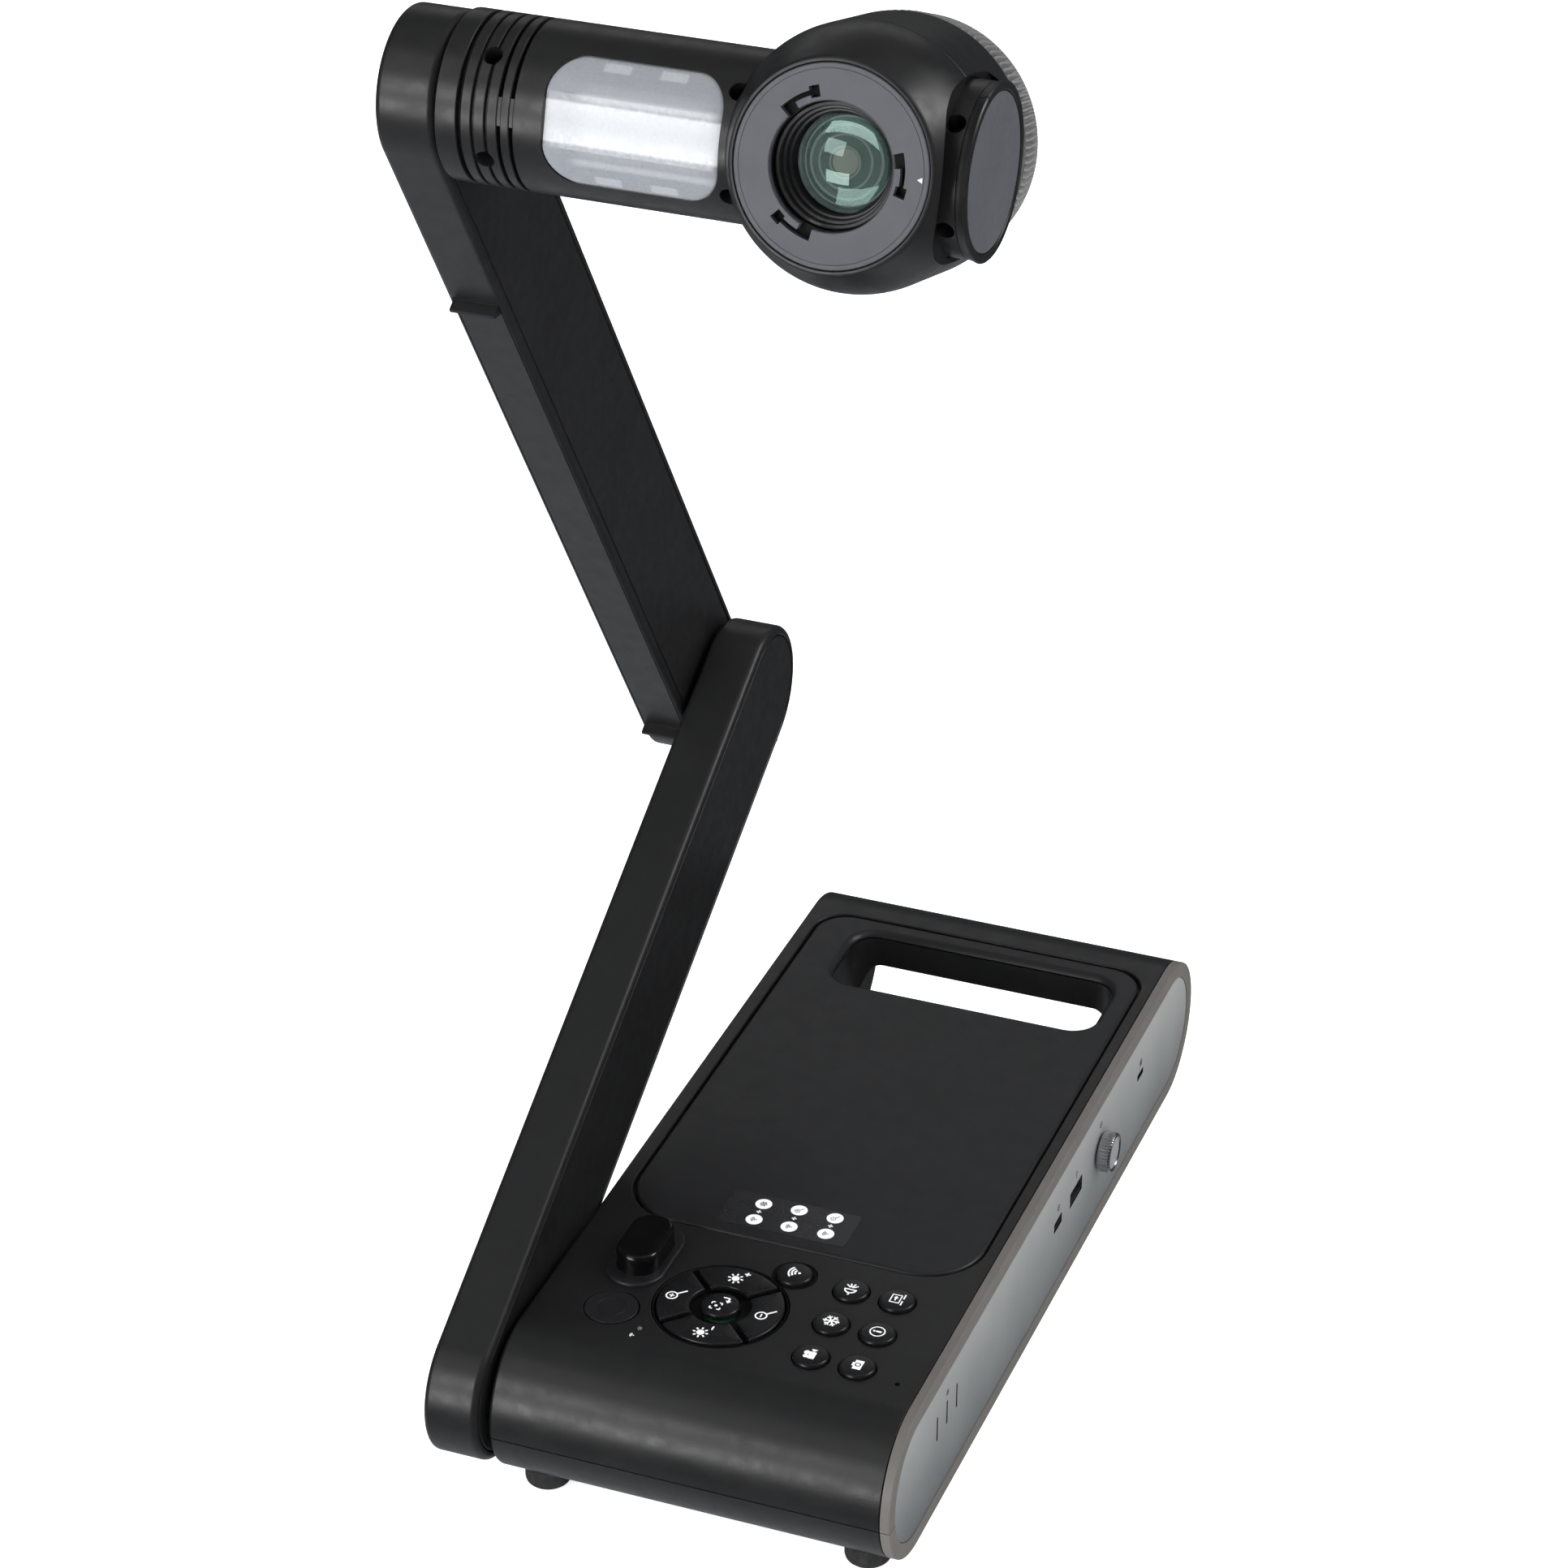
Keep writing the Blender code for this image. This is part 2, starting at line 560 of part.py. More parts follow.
def inner_base(board, steel, brass):
    """What the closed base holds: boards, ballast and the hinge bush."""
    floor = FOOT_HEIGHT + BASE_WALL
    pieces = [
        block("ballast_plate", (BASE_LEFT + 0.030, BASE_FRONT + 0.045, floor + GAP),
              (SHELL_RIGHT - 0.008, SLOT_Y[0] - 0.012, floor + GAP + 0.0060), steel),
        block("main_board", (BASE_LEFT + 0.026, BASE_FRONT + 0.070, floor + 0.0160),
              (SHELL_RIGHT - 0.0180, SLOT_Y[0] - 0.014, floor + 0.0176), board),
        block("keypad_board", (BASE_LEFT + 0.0120, BASE_FRONT + 0.0300, BOARD_Z - 0.0016),
              (SHELL_RIGHT - 0.006, BASE_FRONT + 0.1010, BOARD_Z), board)]
    bush = Matrix.Translation((BASE_LEFT + BASE_WALL + GAP, PIVOT.y, PIVOT.z)) @ ALONG_X
    pieces.append(turned("hinge_bush", ring_profile(SHAFT_RADIUS + GAP, 0.0150, 0.0160, 0.0),
                         bush, brass, 24))
    return pieces


# ---------------------------------------------------------------------- keys
def key_centres():
    centres = {"wifi_key": WIFI_KEY}
    names = ("lamp_key", "source_key", "freeze_key", "info_key", "record_key", "capture_key")
    places = [(x, y) for y in KEY_GRID_Y for x in KEY_GRID_X]
    centres.update(zip(names, places))
    return centres


def round_key(name, centre, radius, proud, mat):
    """A cap with an edge under the deck that keeps it in."""
    flange = -BASE_WALL - GAP
    profile = [(0, proud), (radius - 0.0011, proud), (radius - 0.0003, proud - 0.0004),
               (radius, proud - 0.0011), (radius, flange), (radius + 0.0008, flange),
               (radius + 0.0008, flange - 0.0008), (0.0030, flange - 0.0008),
               (0.0030, flange - 0.0026), (0, flange - 0.0026)]
    return turned(name, profile, Matrix.Translation((*centre, DECK_Z)), mat, KEY_STEPS)


def sector_outline(outer, inner, half_gap, steps):
    """A quarter of a ring around the +X direction, with parallel-sided gaps."""
    out_cut = math.degrees(math.asin(half_gap / outer))
    in_cut = math.degrees(math.asin(half_gap / inner))
    return (arc((0, 0), outer, -45 + out_cut, 45 - out_cut, steps)
            + arc((0, 0), inner, 45 - in_cut, -45 + in_cut, steps // 2))


def nav_key(name, turn, mat):
    """One of the four keys of the ring, with a stem that reaches the board."""
    place = Matrix.Translation((*NAV_CENTRE, DECK_Z)) @ Matrix.Rotation(math.radians(turn), 4, "Z")
    outline = sector_outline(NAV_KEY_OUTER, NAV_KEY_INNER, NAV_KEY_SPLIT, 8)
    key = plate(name, [outline], 0.0018, place @ Matrix.Translation((0, 0, -0.0012)), mat)
    soften(key, 0.0005)
    stem = rod(name + "_stem", STEM_RADIUS, (NAV_STEM_AT, 0, -0.0066), 0.0060, matrix=place,
               steps=12)
    return join(key, stem)


def nav_bezel(mat):
    """The dish that the ring of keys and the focus key sit in."""
    inner, floor, under = NAV_RADIUS - 0.0009, -0.0024, -BASE_WALL - GAP
    profile = [(0, floor), (inner, floor), (inner, 0.0), (NAV_RADIUS, 0.0), (NAV_RADIUS, under),
               (0, under)]
    place = Matrix.Translation((*NAV_CENTRE, DECK_Z))
    dish = turned("nav_bezel", profile, place, mat)
    for i in range(4):
        turn = place @ Matrix.Rotation(math.radians(90 * i), 4, "Z")
        cut(dish, rod(f"stem_hole_{i}", STEM_RADIUS + GAP, (NAV_STEM_AT, 0, -0.01), 0.02,
                      matrix=turn, steps=12))
    return cut(dish, rod("af_hole", 0.0030 + GAP, (0, 0, -0.01), 0.02, matrix=place, steps=16))


def af_key(mat):
    profile = [(0, 0.0009), (AF_RADIUS - 0.0010, 0.0009), (AF_RADIUS, 0.0003),
               (AF_RADIUS, -0.0013), (0.0030, -0.0013), (0.0030, -0.0066), (0, -0.0066)]
    return turned("focus_key", profile, Matrix.Translation((*NAV_CENTRE, DECK_Z)), mat, KEY_STEPS)


def keys(mat):
    """Every key with an empty on its own line of travel."""
    made = [round_key(name, at, KEY_RADIUS, KEY_PROUD, mat) for name, at in key_centres().items()]
    made.append(round_key("power_key", POWER_KEY, POWER_RADIUS, 0.0002, mat))
    turns = {"zoom_out_key": 0, "brighter_key": 90, "zoom_in_key": 180, "darker_key": 270}
    made.extend(nav_key(name, turn, mat) for name, turn in turns.items())
    made.append(af_key(mat))
    for key in made:
        attach(key, empty(key.name + "_slide", (key.matrix_world.to_translation())))
    return made


def deck_trim(gloss, flange_mat, label_mat, light_mat):
    x, y = IR_CENTRE
    flange_box = rounded_box(*((c - s / 2, c + s / 2) for c, s in zip(IR_CENTRE, IR_FLANGE)),
                             (IR_FLANGE[0] / 2 - 0.0002,) * 4)
    flange = plate("ir_flange", [flange_box], 0.0010, Matrix.Translation((0, 0, DECK_Z + GAP)),
                   flange_mat)
    soften(flange, 0.0005)
    cut(flange, block("flange_window_cut", (x - 0.0055, y - 0.0105, DECK_Z - 0.01),
                      (x + 0.0055, y + 0.0105, DECK_Z + 0.01)))
    sides = [(c - s / 2, c + s / 2) for c, s in zip(IR_CENTRE, IR_SIZE[:2])]
    window = plate("ir_window", [rounded_box(*sides, (0.0080,) * 4)], IR_SIZE[2] - 0.0016,
                   Matrix.Translation((0, 0, DECK_Z + 0.0016)), gloss)
    soften(window, 0.0012, 2)
    join(window, block("ir_window_root", (x - 0.0052, y - 0.0102, DECK_Z - BASE_WALL),
                       (x + 0.0052, y + 0.0102, DECK_Z + 0.0030)))
    lens = rod("status_led", 0.0010, (*LED_AT, DECK_Z - BASE_WALL), BASE_WALL + 0.0002, light_mat,
               steps=10)
    edges = [(c - s / 2, c + s / 2) for c, s in zip(LABEL_CENTRE, LABEL_SIZE[:2])]
    label = plate("quick_label", [rounded_box(*edges, (0.0015,) * 4, 3)], LABEL_SIZE[2],
                  Matrix.Translation((0, 0, DECK_Z - LABEL_SIZE[2] - GAP)), label_mat)
    return [flange, window, lens, label]


# ---------------------------------------------------------------------- arms
def arm_frame(at, angle, left):
    """Frame of an arm: its own X runs along the arm, Y across it, Z to the right."""
    turn = Matrix.Rotation(angle, 4, "X")
    return Matrix.Translation((left, at.y, at.z)) @ turn @ SIDEWAYS


def arm_shell(name, frame, length, strip, mat):
    """The arm's tray: open to the right, with a shallow bed for the cable cover."""
    shell = plate(name, [stadium(length, ARM_HALF)], ARM_THICK, frame, mat)
    soften(shell, 0.0012, 2)
    inside = plate(name + "_inside", [stadium(length, ARM_HALF - ARM_WALL - 0.0022)],
                   ARM_THICK, frame @ Matrix.Translation((0, 0, ARM_WALL)))
    seat = plate(name + "_seat", [stadium(length, ARM_HALF - ARM_COVER_INSET + GAP)],
                 ARM_THICK, frame @ Matrix.Translation((0, 0, ARM_THICK - ARM_COVER_THICK - GAP)))
    side, lips = strip
    return cut(shell, inside, seat, cable_strip(name + "_bed", frame, side, lips, GAP))


def cable_strip(name, frame, side, lips, grow=0.0, mat=None):
    """A strip on one long edge of the arm, up to its last lip; side is +1 or -1 across."""
    edge = sorted((side * (ARM_HALF - CABLE_COVER_DEPTH - grow), side * (ARM_HALF + grow * 10)))
    return block(name, (CABLE_START - grow, edge[0], CABLE_INSET - grow),
                 (lips[-1] + 0.0005 + grow, edge[1], ARM_THICK - CABLE_INSET + grow), mat, frame)


def cable_cover(name, frame, side, lips, mat):
    """The clip-on strip with its raised lips, each steep on the side away from the hinge."""
    strip = cable_strip(name, frame, side, lips, mat=mat)
    root, top = side * (ARM_HALF - 0.0007), side * (ARM_HALF + CABLE_LIP)
    for i, at in enumerate(lips):
        outline = [(at, root), (at, top), (at - 0.0015, top), (at - 0.0050, root)]
        join(strip, plate(f"{name}_lip_{i}", [outline], ARM_THICK - 0.0050,
                          frame @ Matrix.Translation((0, 0, 0.0025))))
    return strip


def arm_side_cover(name, frame, length, hole_at, mat):
    cover = plate(name, [stadium(length, ARM_HALF - ARM_COVER_INSET)], ARM_COVER_THICK,
                  frame @ Matrix.Translation((0, 0, ARM_THICK - ARM_COVER_THICK)), mat)
    soften(cover, 0.0003)
    hole = rod(name + "_hole", SHAFT_RADIUS + GAP, (hole_at, 0, ARM_THICK - 0.01), 0.02,
               matrix=frame)
    return cut(cover, hole)


def shaft(name, at, left, right, mat):
    """A steel hinge pin along X with a broad head at its left end."""
    length = right - left
    profile = [(0, length), (SHAFT_RADIUS - 0.0006, length), (SHAFT_RADIUS, length - 0.0006),
               (SHAFT_RADIUS, 0.0030), (0.0150, 0.0030), (0.0150, 0.0), (0, 0.0)]
    return turned(name, profile, Matrix.Translation((left, at.y, at.z)) @ ALONG_X, mat, KEY_STEPS)


def lower_arm(plastic, steel):
    left = LOWER_ARM_RIGHT - ARM_THICK
    frame = arm_frame(PIVOT, LOWER_ANGLE, left)
    shell = arm_shell("lower_arm_shell", frame, LOWER_LENGTH, (-1, LOWER_LIPS), plastic)
    cut(shell, rod("elbow_hole", SHAFT_RADIUS + GAP, (LOWER_LENGTH, 0, -0.01), 0.02, matrix=frame))
    head_left = LOWER_ARM_RIGHT - ARM_COVER_THICK - GAP - 0.0030 - GAP
    return [shell,
            arm_side_cover("lower_arm_side_cover", frame, LOWER_LENGTH, 0.0, plastic),
            cable_cover("lower_arm_cable_cover", frame, -1, LOWER_LIPS, plastic),
            shaft("base_shaft", PIVOT, head_left, BASE_LEFT + 0.0250, steel)]


def upper_arm(plastic, steel):
    left = UPPER_ARM_RIGHT - ARM_THICK
    frame = arm_frame(ELBOW, UPPER_ANGLE, left)
    head_left = UPPER_ARM_RIGHT - ARM_COVER_THICK - GAP - 0.0030 - GAP
    cover = arm_side_cover("upper_arm_side_cover", frame, UPPER_LENGTH, 0.0, plastic)
    cut(cover, rod("neck_hole", SHAFT_RADIUS + GAP, (UPPER_LENGTH, 0, ARM_THICK - 0.01), 0.02,
                   matrix=frame))
    collar = Matrix.Translation((COLLAR_LEFT, NECK.y, NECK.z)) @ ALONG_X
    wide = TUBE_LEFT - GAP - COLLAR_LEFT
    return [arm_shell("upper_arm_shell", frame, UPPER_LENGTH, (1, UPPER_LIPS), plastic),
            cover,
            cable_cover("upper_arm_cable_cover", frame, 1, UPPER_LIPS, plastic),
            shaft("elbow_shaft", ELBOW, head_left, UPPER_ARM_RIGHT + 0.0080, steel),
            turned("neck_collar", ring_profile(SHAFT_RADIUS + GAP, TUBE_RADIUS, wide, 0.0),
                   collar, plastic)]


# ---------------------------------------------------------------------- head
def lens_place():
    """Lens frame with its origin in the middle of the front plate's face."""
    return Matrix.Translation(PLATE_CENTRE) @ LENS_FRAME


def tube_place(left):
    return Matrix.Translation((left, NECK.y, NECK.z)) @ ALONG_X


def tube_body(name, mat):
    """The lamp tube as a solid, ringed with grooves."""
    length = TUBE_RIGHT - TUBE_LEFT
    profile = [(0, length), (TUBE_RADIUS, length)]
    for x in reversed(GROOVE_X):
        high, low = x - TUBE_LEFT + GROOVE_WIDTH / 2, x - TUBE_LEFT - GROOVE_WIDTH / 2
        profile.extend([(TUBE_RADIUS, high), (TUBE_RADIUS - GROOVE_DEPTH, high),
                        (TUBE_RADIUS - GROOVE_DEPTH, low), (TUBE_RADIUS, low)])
    profile.extend([(TUBE_RADIUS, 0.0), (0, 0.0)])
    return turned(name, profile, tube_place(TUBE_LEFT), mat)


def tube_cavity():
    """The inside of the lamp tube, with the hole for the neck pin at its left end."""
    length, end = TUBE_RIGHT - TUBE_LEFT + 0.01, 0.0030
    inner, hole = TUBE_RADIUS - TUBE_WALL, SHAFT_RADIUS + GAP
    return turned("tube_cavity", [(0, length), (inner, length), (inner, end), (hole, end),
                                  (hole, -0.01), (0, -0.01)], tube_place(TUBE_LEFT))


def drum_radius(back):
    """Outer radius of the drum, a distance behind its front face."""
    flare = min(back / DRUM_SPLIT, 1.0)
    return FACE_RADIUS + (DRUM_RADIUS - FACE_RADIUS) * math.sin(flare * math.pi / 2)


def head_body(mat):
    """Lamp tube and the front of the drum in one moulding."""
    body = tube_body("head_body", mat)
    stations = [DRUM_SPLIT * i / 6 for i in range(7)]
    outer = [(0, 0.0)] + [(drum_radius(s), -s) for s in stations]
    front = turned("drum_front", outer + [(0, -DRUM_SPLIT)], lens_place())
    face_wall, past_split = 0.0042, DRUM_SPLIT + 0.0005
    hollow_stations = [face_wall + (past_split - face_wall) * i / 4 for i in range(5)]
    hollow = [(0, -face_wall)] + [(drum_radius(s) - TUBE_WALL, -s) for s in hollow_stations]
    cavity = turned("drum_front_cavity", hollow + [(0, -past_split)], lens_place())
    cut(front, rod("stub_pocket", POCKET_RADIUS, (0, 0, 0), 0.03, steps=TURN_STEPS,
                   matrix=tube_place(POCKET_LEFT)))
    join(body, front)
    back_bore = rod("back_bore", BORE_RADIUS + 0.0008, (0, 0, -0.09), 0.12, matrix=lens_place(),
                    steps=TURN_STEPS)
    seat = rod("plate_seat", PLATE_RADIUS + GAP, (0, 0, -0.0026 - GAP), 0.02, matrix=lens_place(),
               steps=TURN_STEPS)
    cut(body, cavity, tube_cavity(), back_bore, seat, lamp_cutter("lamp_opening", 0.0))
    for i, x in enumerate(HEAD_SCREW_X):
        for side in (-1, 1):
            cut(body, head_screw_cut(f"head_screw_{i}_{side + 1}", x, side))
    return body


def head_screw_cut(name, x, side):
    """A screw recess that looks forward, above or below the lens axis."""
    angle = LENS_TILT + side * HEAD_SCREW_ANGLE
    look = Matrix.Rotation(math.radians(90) - angle, 4, "X")
    place = Matrix.Translation((x, NECK.y, NECK.z)) @ look
    return rod(name, HEAD_SCREW_RADIUS, (0, 0, TUBE_RADIUS - TUBE_WALL - 0.004), 0.02,
               matrix=place, steps=12)


def lamp_cutter(name, inset):
    """The lamp window's outline pushed forward through the front of the tube."""
    middle = sum(LAMP_X) / 2
    half = (LAMP_X[1] - LAMP_X[0]) / 2 - inset
    tall = LAMP_HALF_HEIGHT - inset
    outline = rounded_box((-half, half), (-tall, tall), (LAMP_ROUND - inset,) * 4, 5)
    place = Matrix.Translation((middle, NECK.y, NECK.z)) @ LENS_FRAME
    return plate(name, [outline], 0.04, place @ Matrix.Translation((0, 0, 0.006)))


def lamp_diffuser(mat):
    length = LAMP_X[1] - LAMP_X[0] + 0.002
    skin = turned("lamp_diffuser",
                  ring_profile(TUBE_RADIUS - 0.0020, TUBE_RADIUS - 0.0001, length, 0.0),
                  tube_place(LAMP_X[0] - 0.001), mat)
    return boolean(skin, lamp_cutter("lamp_shape", GAP), "INTERSECT")


def lamp_board(mat):
    place = Matrix.Translation((sum(LAMP_X) / 2, NECK.y, NECK.z)) @ LENS_FRAME
    return block("lamp_board", (-0.0270, -0.0160, 0.0080), (0.0270, 0.0160, 0.0096), mat, place)


def head_rear_cover(mat):
    """The back of the drum: a cup that straddles the tube, with a neck for the ring."""
    neck_radius, back_wall = 0.0352, DRUM_BACK + 0.0026
    outer = [(0, -DRUM_SPLIT - GAP), (DRUM_RADIUS, -DRUM_SPLIT - GAP),
             (DRUM_RADIUS, -DRUM_BACK + 0.0030), (DRUM_RADIUS - 0.0008, -DRUM_BACK),
             (neck_radius, -DRUM_BACK), (neck_radius, -back_wall - 0.0050), (0, -back_wall - 0.0050)]
    cover = turned("head_rear_cover", outer, lens_place(), mat)
    inner = DRUM_RADIUS - TUBE_WALL
    hollow = [(0, -DRUM_SPLIT + 0.01), (inner, -DRUM_SPLIT + 0.01), (inner, -DRUM_BACK + 0.0026),
              (neck_radius - 0.0022, -DRUM_BACK), (neck_radius - 0.0022, -back_wall - 0.0026),
              (0, -back_wall - 0.0026)]
    cavity = turned("rear_cavity", hollow, lens_place())
    around = turned("tube_around", [(0, 0.03), (CAP_RADIUS + GAP, 0.03), (CAP_RADIUS + GAP, -GAP),
                                    (TUBE_RADIUS + GAP, -GAP), (TUBE_RADIUS + GAP, -0.12),
                                    (0, -0.12)], tube_place(TUBE_RIGHT))
    bore = rod("rear_bore", BORE_RADIUS + 0.0008, (0, 0, -0.10), 0.12, matrix=lens_place(),
               steps=TURN_STEPS)
    return cut(cover, cavity, around, bore)


def front_plate(mat):
    """The grey face with three L-shaped bayonet slots around the lens."""
    profile = [(BORE_RADIUS, 0.0), (PLATE_RADIUS - 0.0004, 0.0), (PLATE_RADIUS, -0.0004),
               (PLATE_RADIUS, -0.0026), (BORE_RADIUS, -0.0026), (BORE_RADIUS, 0.0)]
    face = turned("front_plate", profile, lens_place(), mat)
    for i in range(3):
        turn = lens_place() @ Matrix.Rotation(math.radians(120 * i + 1.5), 4, "Z")
        slit = arc((0, 0), 0.0243, -17, 17, 4) + arc((0, 0), 0.0222, 17, -17, 4)
        hook = arc((0, 0), 0.0252, -17, -9, 2) + arc((0, 0), 0.0215, -9, -17, 2)
        for tag, outline in (("slit", slit), ("hook", hook)):
            cut(face, plate(f"bayonet_{tag}_{i}", [outline], 0.01,
                            turn @ Matrix.Translation((0, 0, -0.006))))
    return face


def end_cap(mat):
    """The flared cap that closes the tube's right end."""
    left = TUBE_RIGHT + GAP
    depth = CAP_RIGHT - left
    profile = [(0, depth - 0.0010), (CAP_DISC_RADIUS + GAP, depth - 0.0010),
               (CAP_DISC_RADIUS + GAP, depth - 0.0002), (CAP_RADIUS - 0.0010, depth - 0.0002),
               (CAP_RADIUS, depth - 0.0012), (CAP_RADIUS - 0.0012, depth - 0.0028),
               (TUBE_RADIUS, 0.0), (TUBE_RADIUS - TUBE_WALL - GAP, 0.0),
               (TUBE_RADIUS - TUBE_WALL - GAP, -0.0030), (0, -0.0030)]
    return turned("end_cap", profile, tube_place(left), mat)


def end_cap_disc(mat):
    profile = [(0, 0.0007), (CAP_DISC_RADIUS - 0.0003, 0.0007), (CAP_DISC_RADIUS, 0.0004),
               (CAP_DISC_RADIUS, 0.0), (0, 0.0)]
    return turned("end_cap_disc", profile, tube_place(CAP_RIGHT - 0.0007), mat)


def neck_shaft(mat):
    """Steel pin of the neck hinge, headed inside the tube, ending in the upper arm."""
    left, right = UPPER_ARM_RIGHT - 0.0050, TUBE_LEFT + 0.0030 + GAP
    profile = [(0, right - left + 0.0030), (0.0150, right - left + 0.0030), (0.0150, right - left),
               (SHAFT_RADIUS, right - left), (SHAFT_RADIUS, 0.0006), (SHAFT_RADIUS - 0.0006, 0.0),
               (0, 0.0)]
    return turned("neck_shaft", profile, tube_place(left), mat, KEY_STEPS)


# --------------------------------------------------------------- lens turret
def lens_barrel(mat):
    """The turning lens: stepped rings in front, a long stem back to the ring."""
    outer, glass = BORE_RADIUS - 0.0006, 0.0156
    profile = [(0, -0.0200), (glass - 0.0016, -0.0200), (glass - 0.0016, -0.0152),
               (glass + 0.0004, -0.0152), (glass + 0.0004, -0.0095), (glass + 0.0014, -0.0095),
               (glass + 0.0014, -0.0070), (glass + 0.0026, -0.0070), (glass + 0.0026, -0.0045),
               (outer, -0.0045), (outer, -BARREL_BACK), (0, -BARREL_BACK)]
    return turned("lens_barrel", profile, lens_place(), mat)


def lens_glass(name, radius, front, edge, thick, mat):
    """A glass disc with a domed front, edge drop first."""
    steps = 4
    profile = [(radius * math.sin(math.radians(90 * i / steps)),
                -front - edge * (1 - math.cos(math.radians(90 * i / steps))))
               for i in range(steps + 1)]
    profile.extend([(radius, -front - edge - thick), (0, -front - edge - thick)])
    return turned(name, profile, lens_place(), mat, 28)


def rotation_ring(mat):
    """The grip ring at the back of the drum, closed by a shallow dish."""
    front, back = DRUM_BACK + 0.0004, RING_BACK
    rim, inner = 0.0419, 0.0362
    profile = [(0, -back + 0.0042), (0.0330, -back + 0.0042), (inner, -back + 0.0080),
               (inner, -front), (rim, -front), (0.0390, -back + 0.0012), (0.0378, -back),
               (0.0340, -back), (0.0330, -back + 0.0010), (0, -back + 0.0014)]
    return turned("rotation_ring", profile, lens_place(), mat, 48)


def sensor_board(mat):
    return block("sensor_board", (-0.0070, -0.0070, -RING_BACK + 0.0046),
                 (0.0070, 0.0070, -BARREL_BACK - GAP), mat, lens_place())


# ------------------------------------------------------------------ assembly
def main():
    start_scene()
    black = material("black_plastic", (0.018, 0.018, 0.019), 0.42)
    dark = material("deck_plastic", (0.014, 0.014, 0.015), 0.48)
    key_black = material("key_rubber", (0.020, 0.020, 0.021), 0.35)
    gloss = material("ir_acrylic", (0.010, 0.008, 0.009), 0.08)
    face_grey = material("face_grey", (0.085, 0.087, 0.094), 0.50)
    taupe = material("bezel_taupe", (0.090, 0.082, 0.075), 0.50)
    silver = material("panel_silver", (0.300, 0.320, 0.320), 0.38, 0.35)
    chrome = material("chrome", (0.700, 0.710, 0.720), 0.15, 1.0)
    steel = material("steel", (0.450, 0.450, 0.460), 0.35, 1.0)
    brass = material("brass", (0.600, 0.470, 0.250), 0.35, 1.0)
    board = material("circuit_board", (0.020, 0.120, 0.060), 0.55)
    rubber = material("foot_rubber", (0.020, 0.020, 0.020), 0.80)
    label = material("label_film", (0.016, 0.016, 0.018), 0.40)
    glass = material("lens_glass", (0.040, 0.075, 0.070), 0.03, 0.0, 0.6)
    light = material("diffuser", (0.850, 0.860, 0.870), 0.30)
    ring_grey = material("ring_grey", (0.130, 0.130, 0.135), 0.45)

    base = empty("base_frame", (0, 0, 0))
    scoop = handle_scoop()
    fixed = [base_upper_shell(black, scoop), base_lower_shell(black, scoop), deck_panel(dark),
             side_bezel(taupe), side_panel(silver), nav_bezel(dark), io_panel(dark)]
    fixed += feet(rubber) + right_sockets(steel) + left_sockets(steel, gloss)
    fixed += inner_base(board, steel, brass) + deck_trim(gloss, dark, label, light)
    for piece in fixed:
        attach(piece, base)
    keys(key_black)
    attach(side_knob(chrome), empty("side_knob_axis", (BASE_RIGHT, *KNOB_AT)))

    base_hinge = empty("base_hinge", (LOWER_ARM_RIGHT, PIVOT.y, PIVOT.z), base)
    elbow_hinge = empty("elbow_hinge", (UPPER_ARM_RIGHT, ELBOW.y, ELBOW.z), base_hinge)
    neck_hinge = empty("neck_hinge", (TUBE_LEFT, NECK.y, NECK.z), elbow_hinge)
    lens_axis = empty("lens_axis", PLATE_CENTRE, neck_hinge)
    for piece in lower_arm(black, steel):
        attach(piece, base_hinge)
    for piece in upper_arm(black, steel):
        attach(piece, elbow_hinge)
    head = [head_body(black), head_rear_cover(black), end_cap(black), end_cap_disc(face_grey),
            front_plate(face_grey), lamp_diffuser(light), lamp_board(board), neck_shaft(steel)]
    for piece in head:
        attach(piece, neck_hinge)
    turret = [rotation_ring(ring_grey), lens_barrel(black), sensor_board(board),
              lens_glass("front_glass", 0.0156 + 0.0001, 0.0110, 0.0026, 0.0010, glass),
              lens_glass("inner_glass", 0.0100, 0.0166, 0.0016, 0.0012, glass)]
    for piece in turret:
        attach(piece, lens_axis)


main()
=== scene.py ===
import math

import bmesh
import bpy
from mathutils import Matrix, Vector


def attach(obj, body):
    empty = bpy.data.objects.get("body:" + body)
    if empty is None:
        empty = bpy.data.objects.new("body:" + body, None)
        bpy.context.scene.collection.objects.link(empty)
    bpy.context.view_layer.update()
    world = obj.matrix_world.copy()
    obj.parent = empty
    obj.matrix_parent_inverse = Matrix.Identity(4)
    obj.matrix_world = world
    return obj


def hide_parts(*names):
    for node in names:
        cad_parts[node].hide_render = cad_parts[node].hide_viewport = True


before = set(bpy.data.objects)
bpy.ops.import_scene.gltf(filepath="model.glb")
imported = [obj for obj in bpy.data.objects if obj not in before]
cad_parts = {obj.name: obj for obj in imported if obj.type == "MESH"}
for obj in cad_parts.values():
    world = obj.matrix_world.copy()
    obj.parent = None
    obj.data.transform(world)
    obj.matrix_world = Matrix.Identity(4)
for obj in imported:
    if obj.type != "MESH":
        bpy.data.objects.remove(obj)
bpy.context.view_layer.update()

# ---------------------------------------------------------------- dimensions
# The same numbers as the CAD, in metres
BASE_LEFT, BASE_WIDTH = -0.0561, 0.152
BASE_FRONT, BASE_LENGTH = -0.1774, 0.361
BASE_THICK, FOOT_HEIGHT, FOOT_RADIUS = 0.059, 0.006, 0.0085
BASE_WALL, PARTING_Z, BEZEL_THICK, RIM_WIDTH = 0.0035, 0.0317, 0.0037, 0.006
GAP = 0.0003
SHAFT_HOLE, KNOB_HOLE = 0.0083, 0.0034
BASE_RIGHT = BASE_LEFT + BASE_WIDTH
BASE_BACK = BASE_FRONT + BASE_LENGTH
BASE_ROUND = BASE_THICK / 2
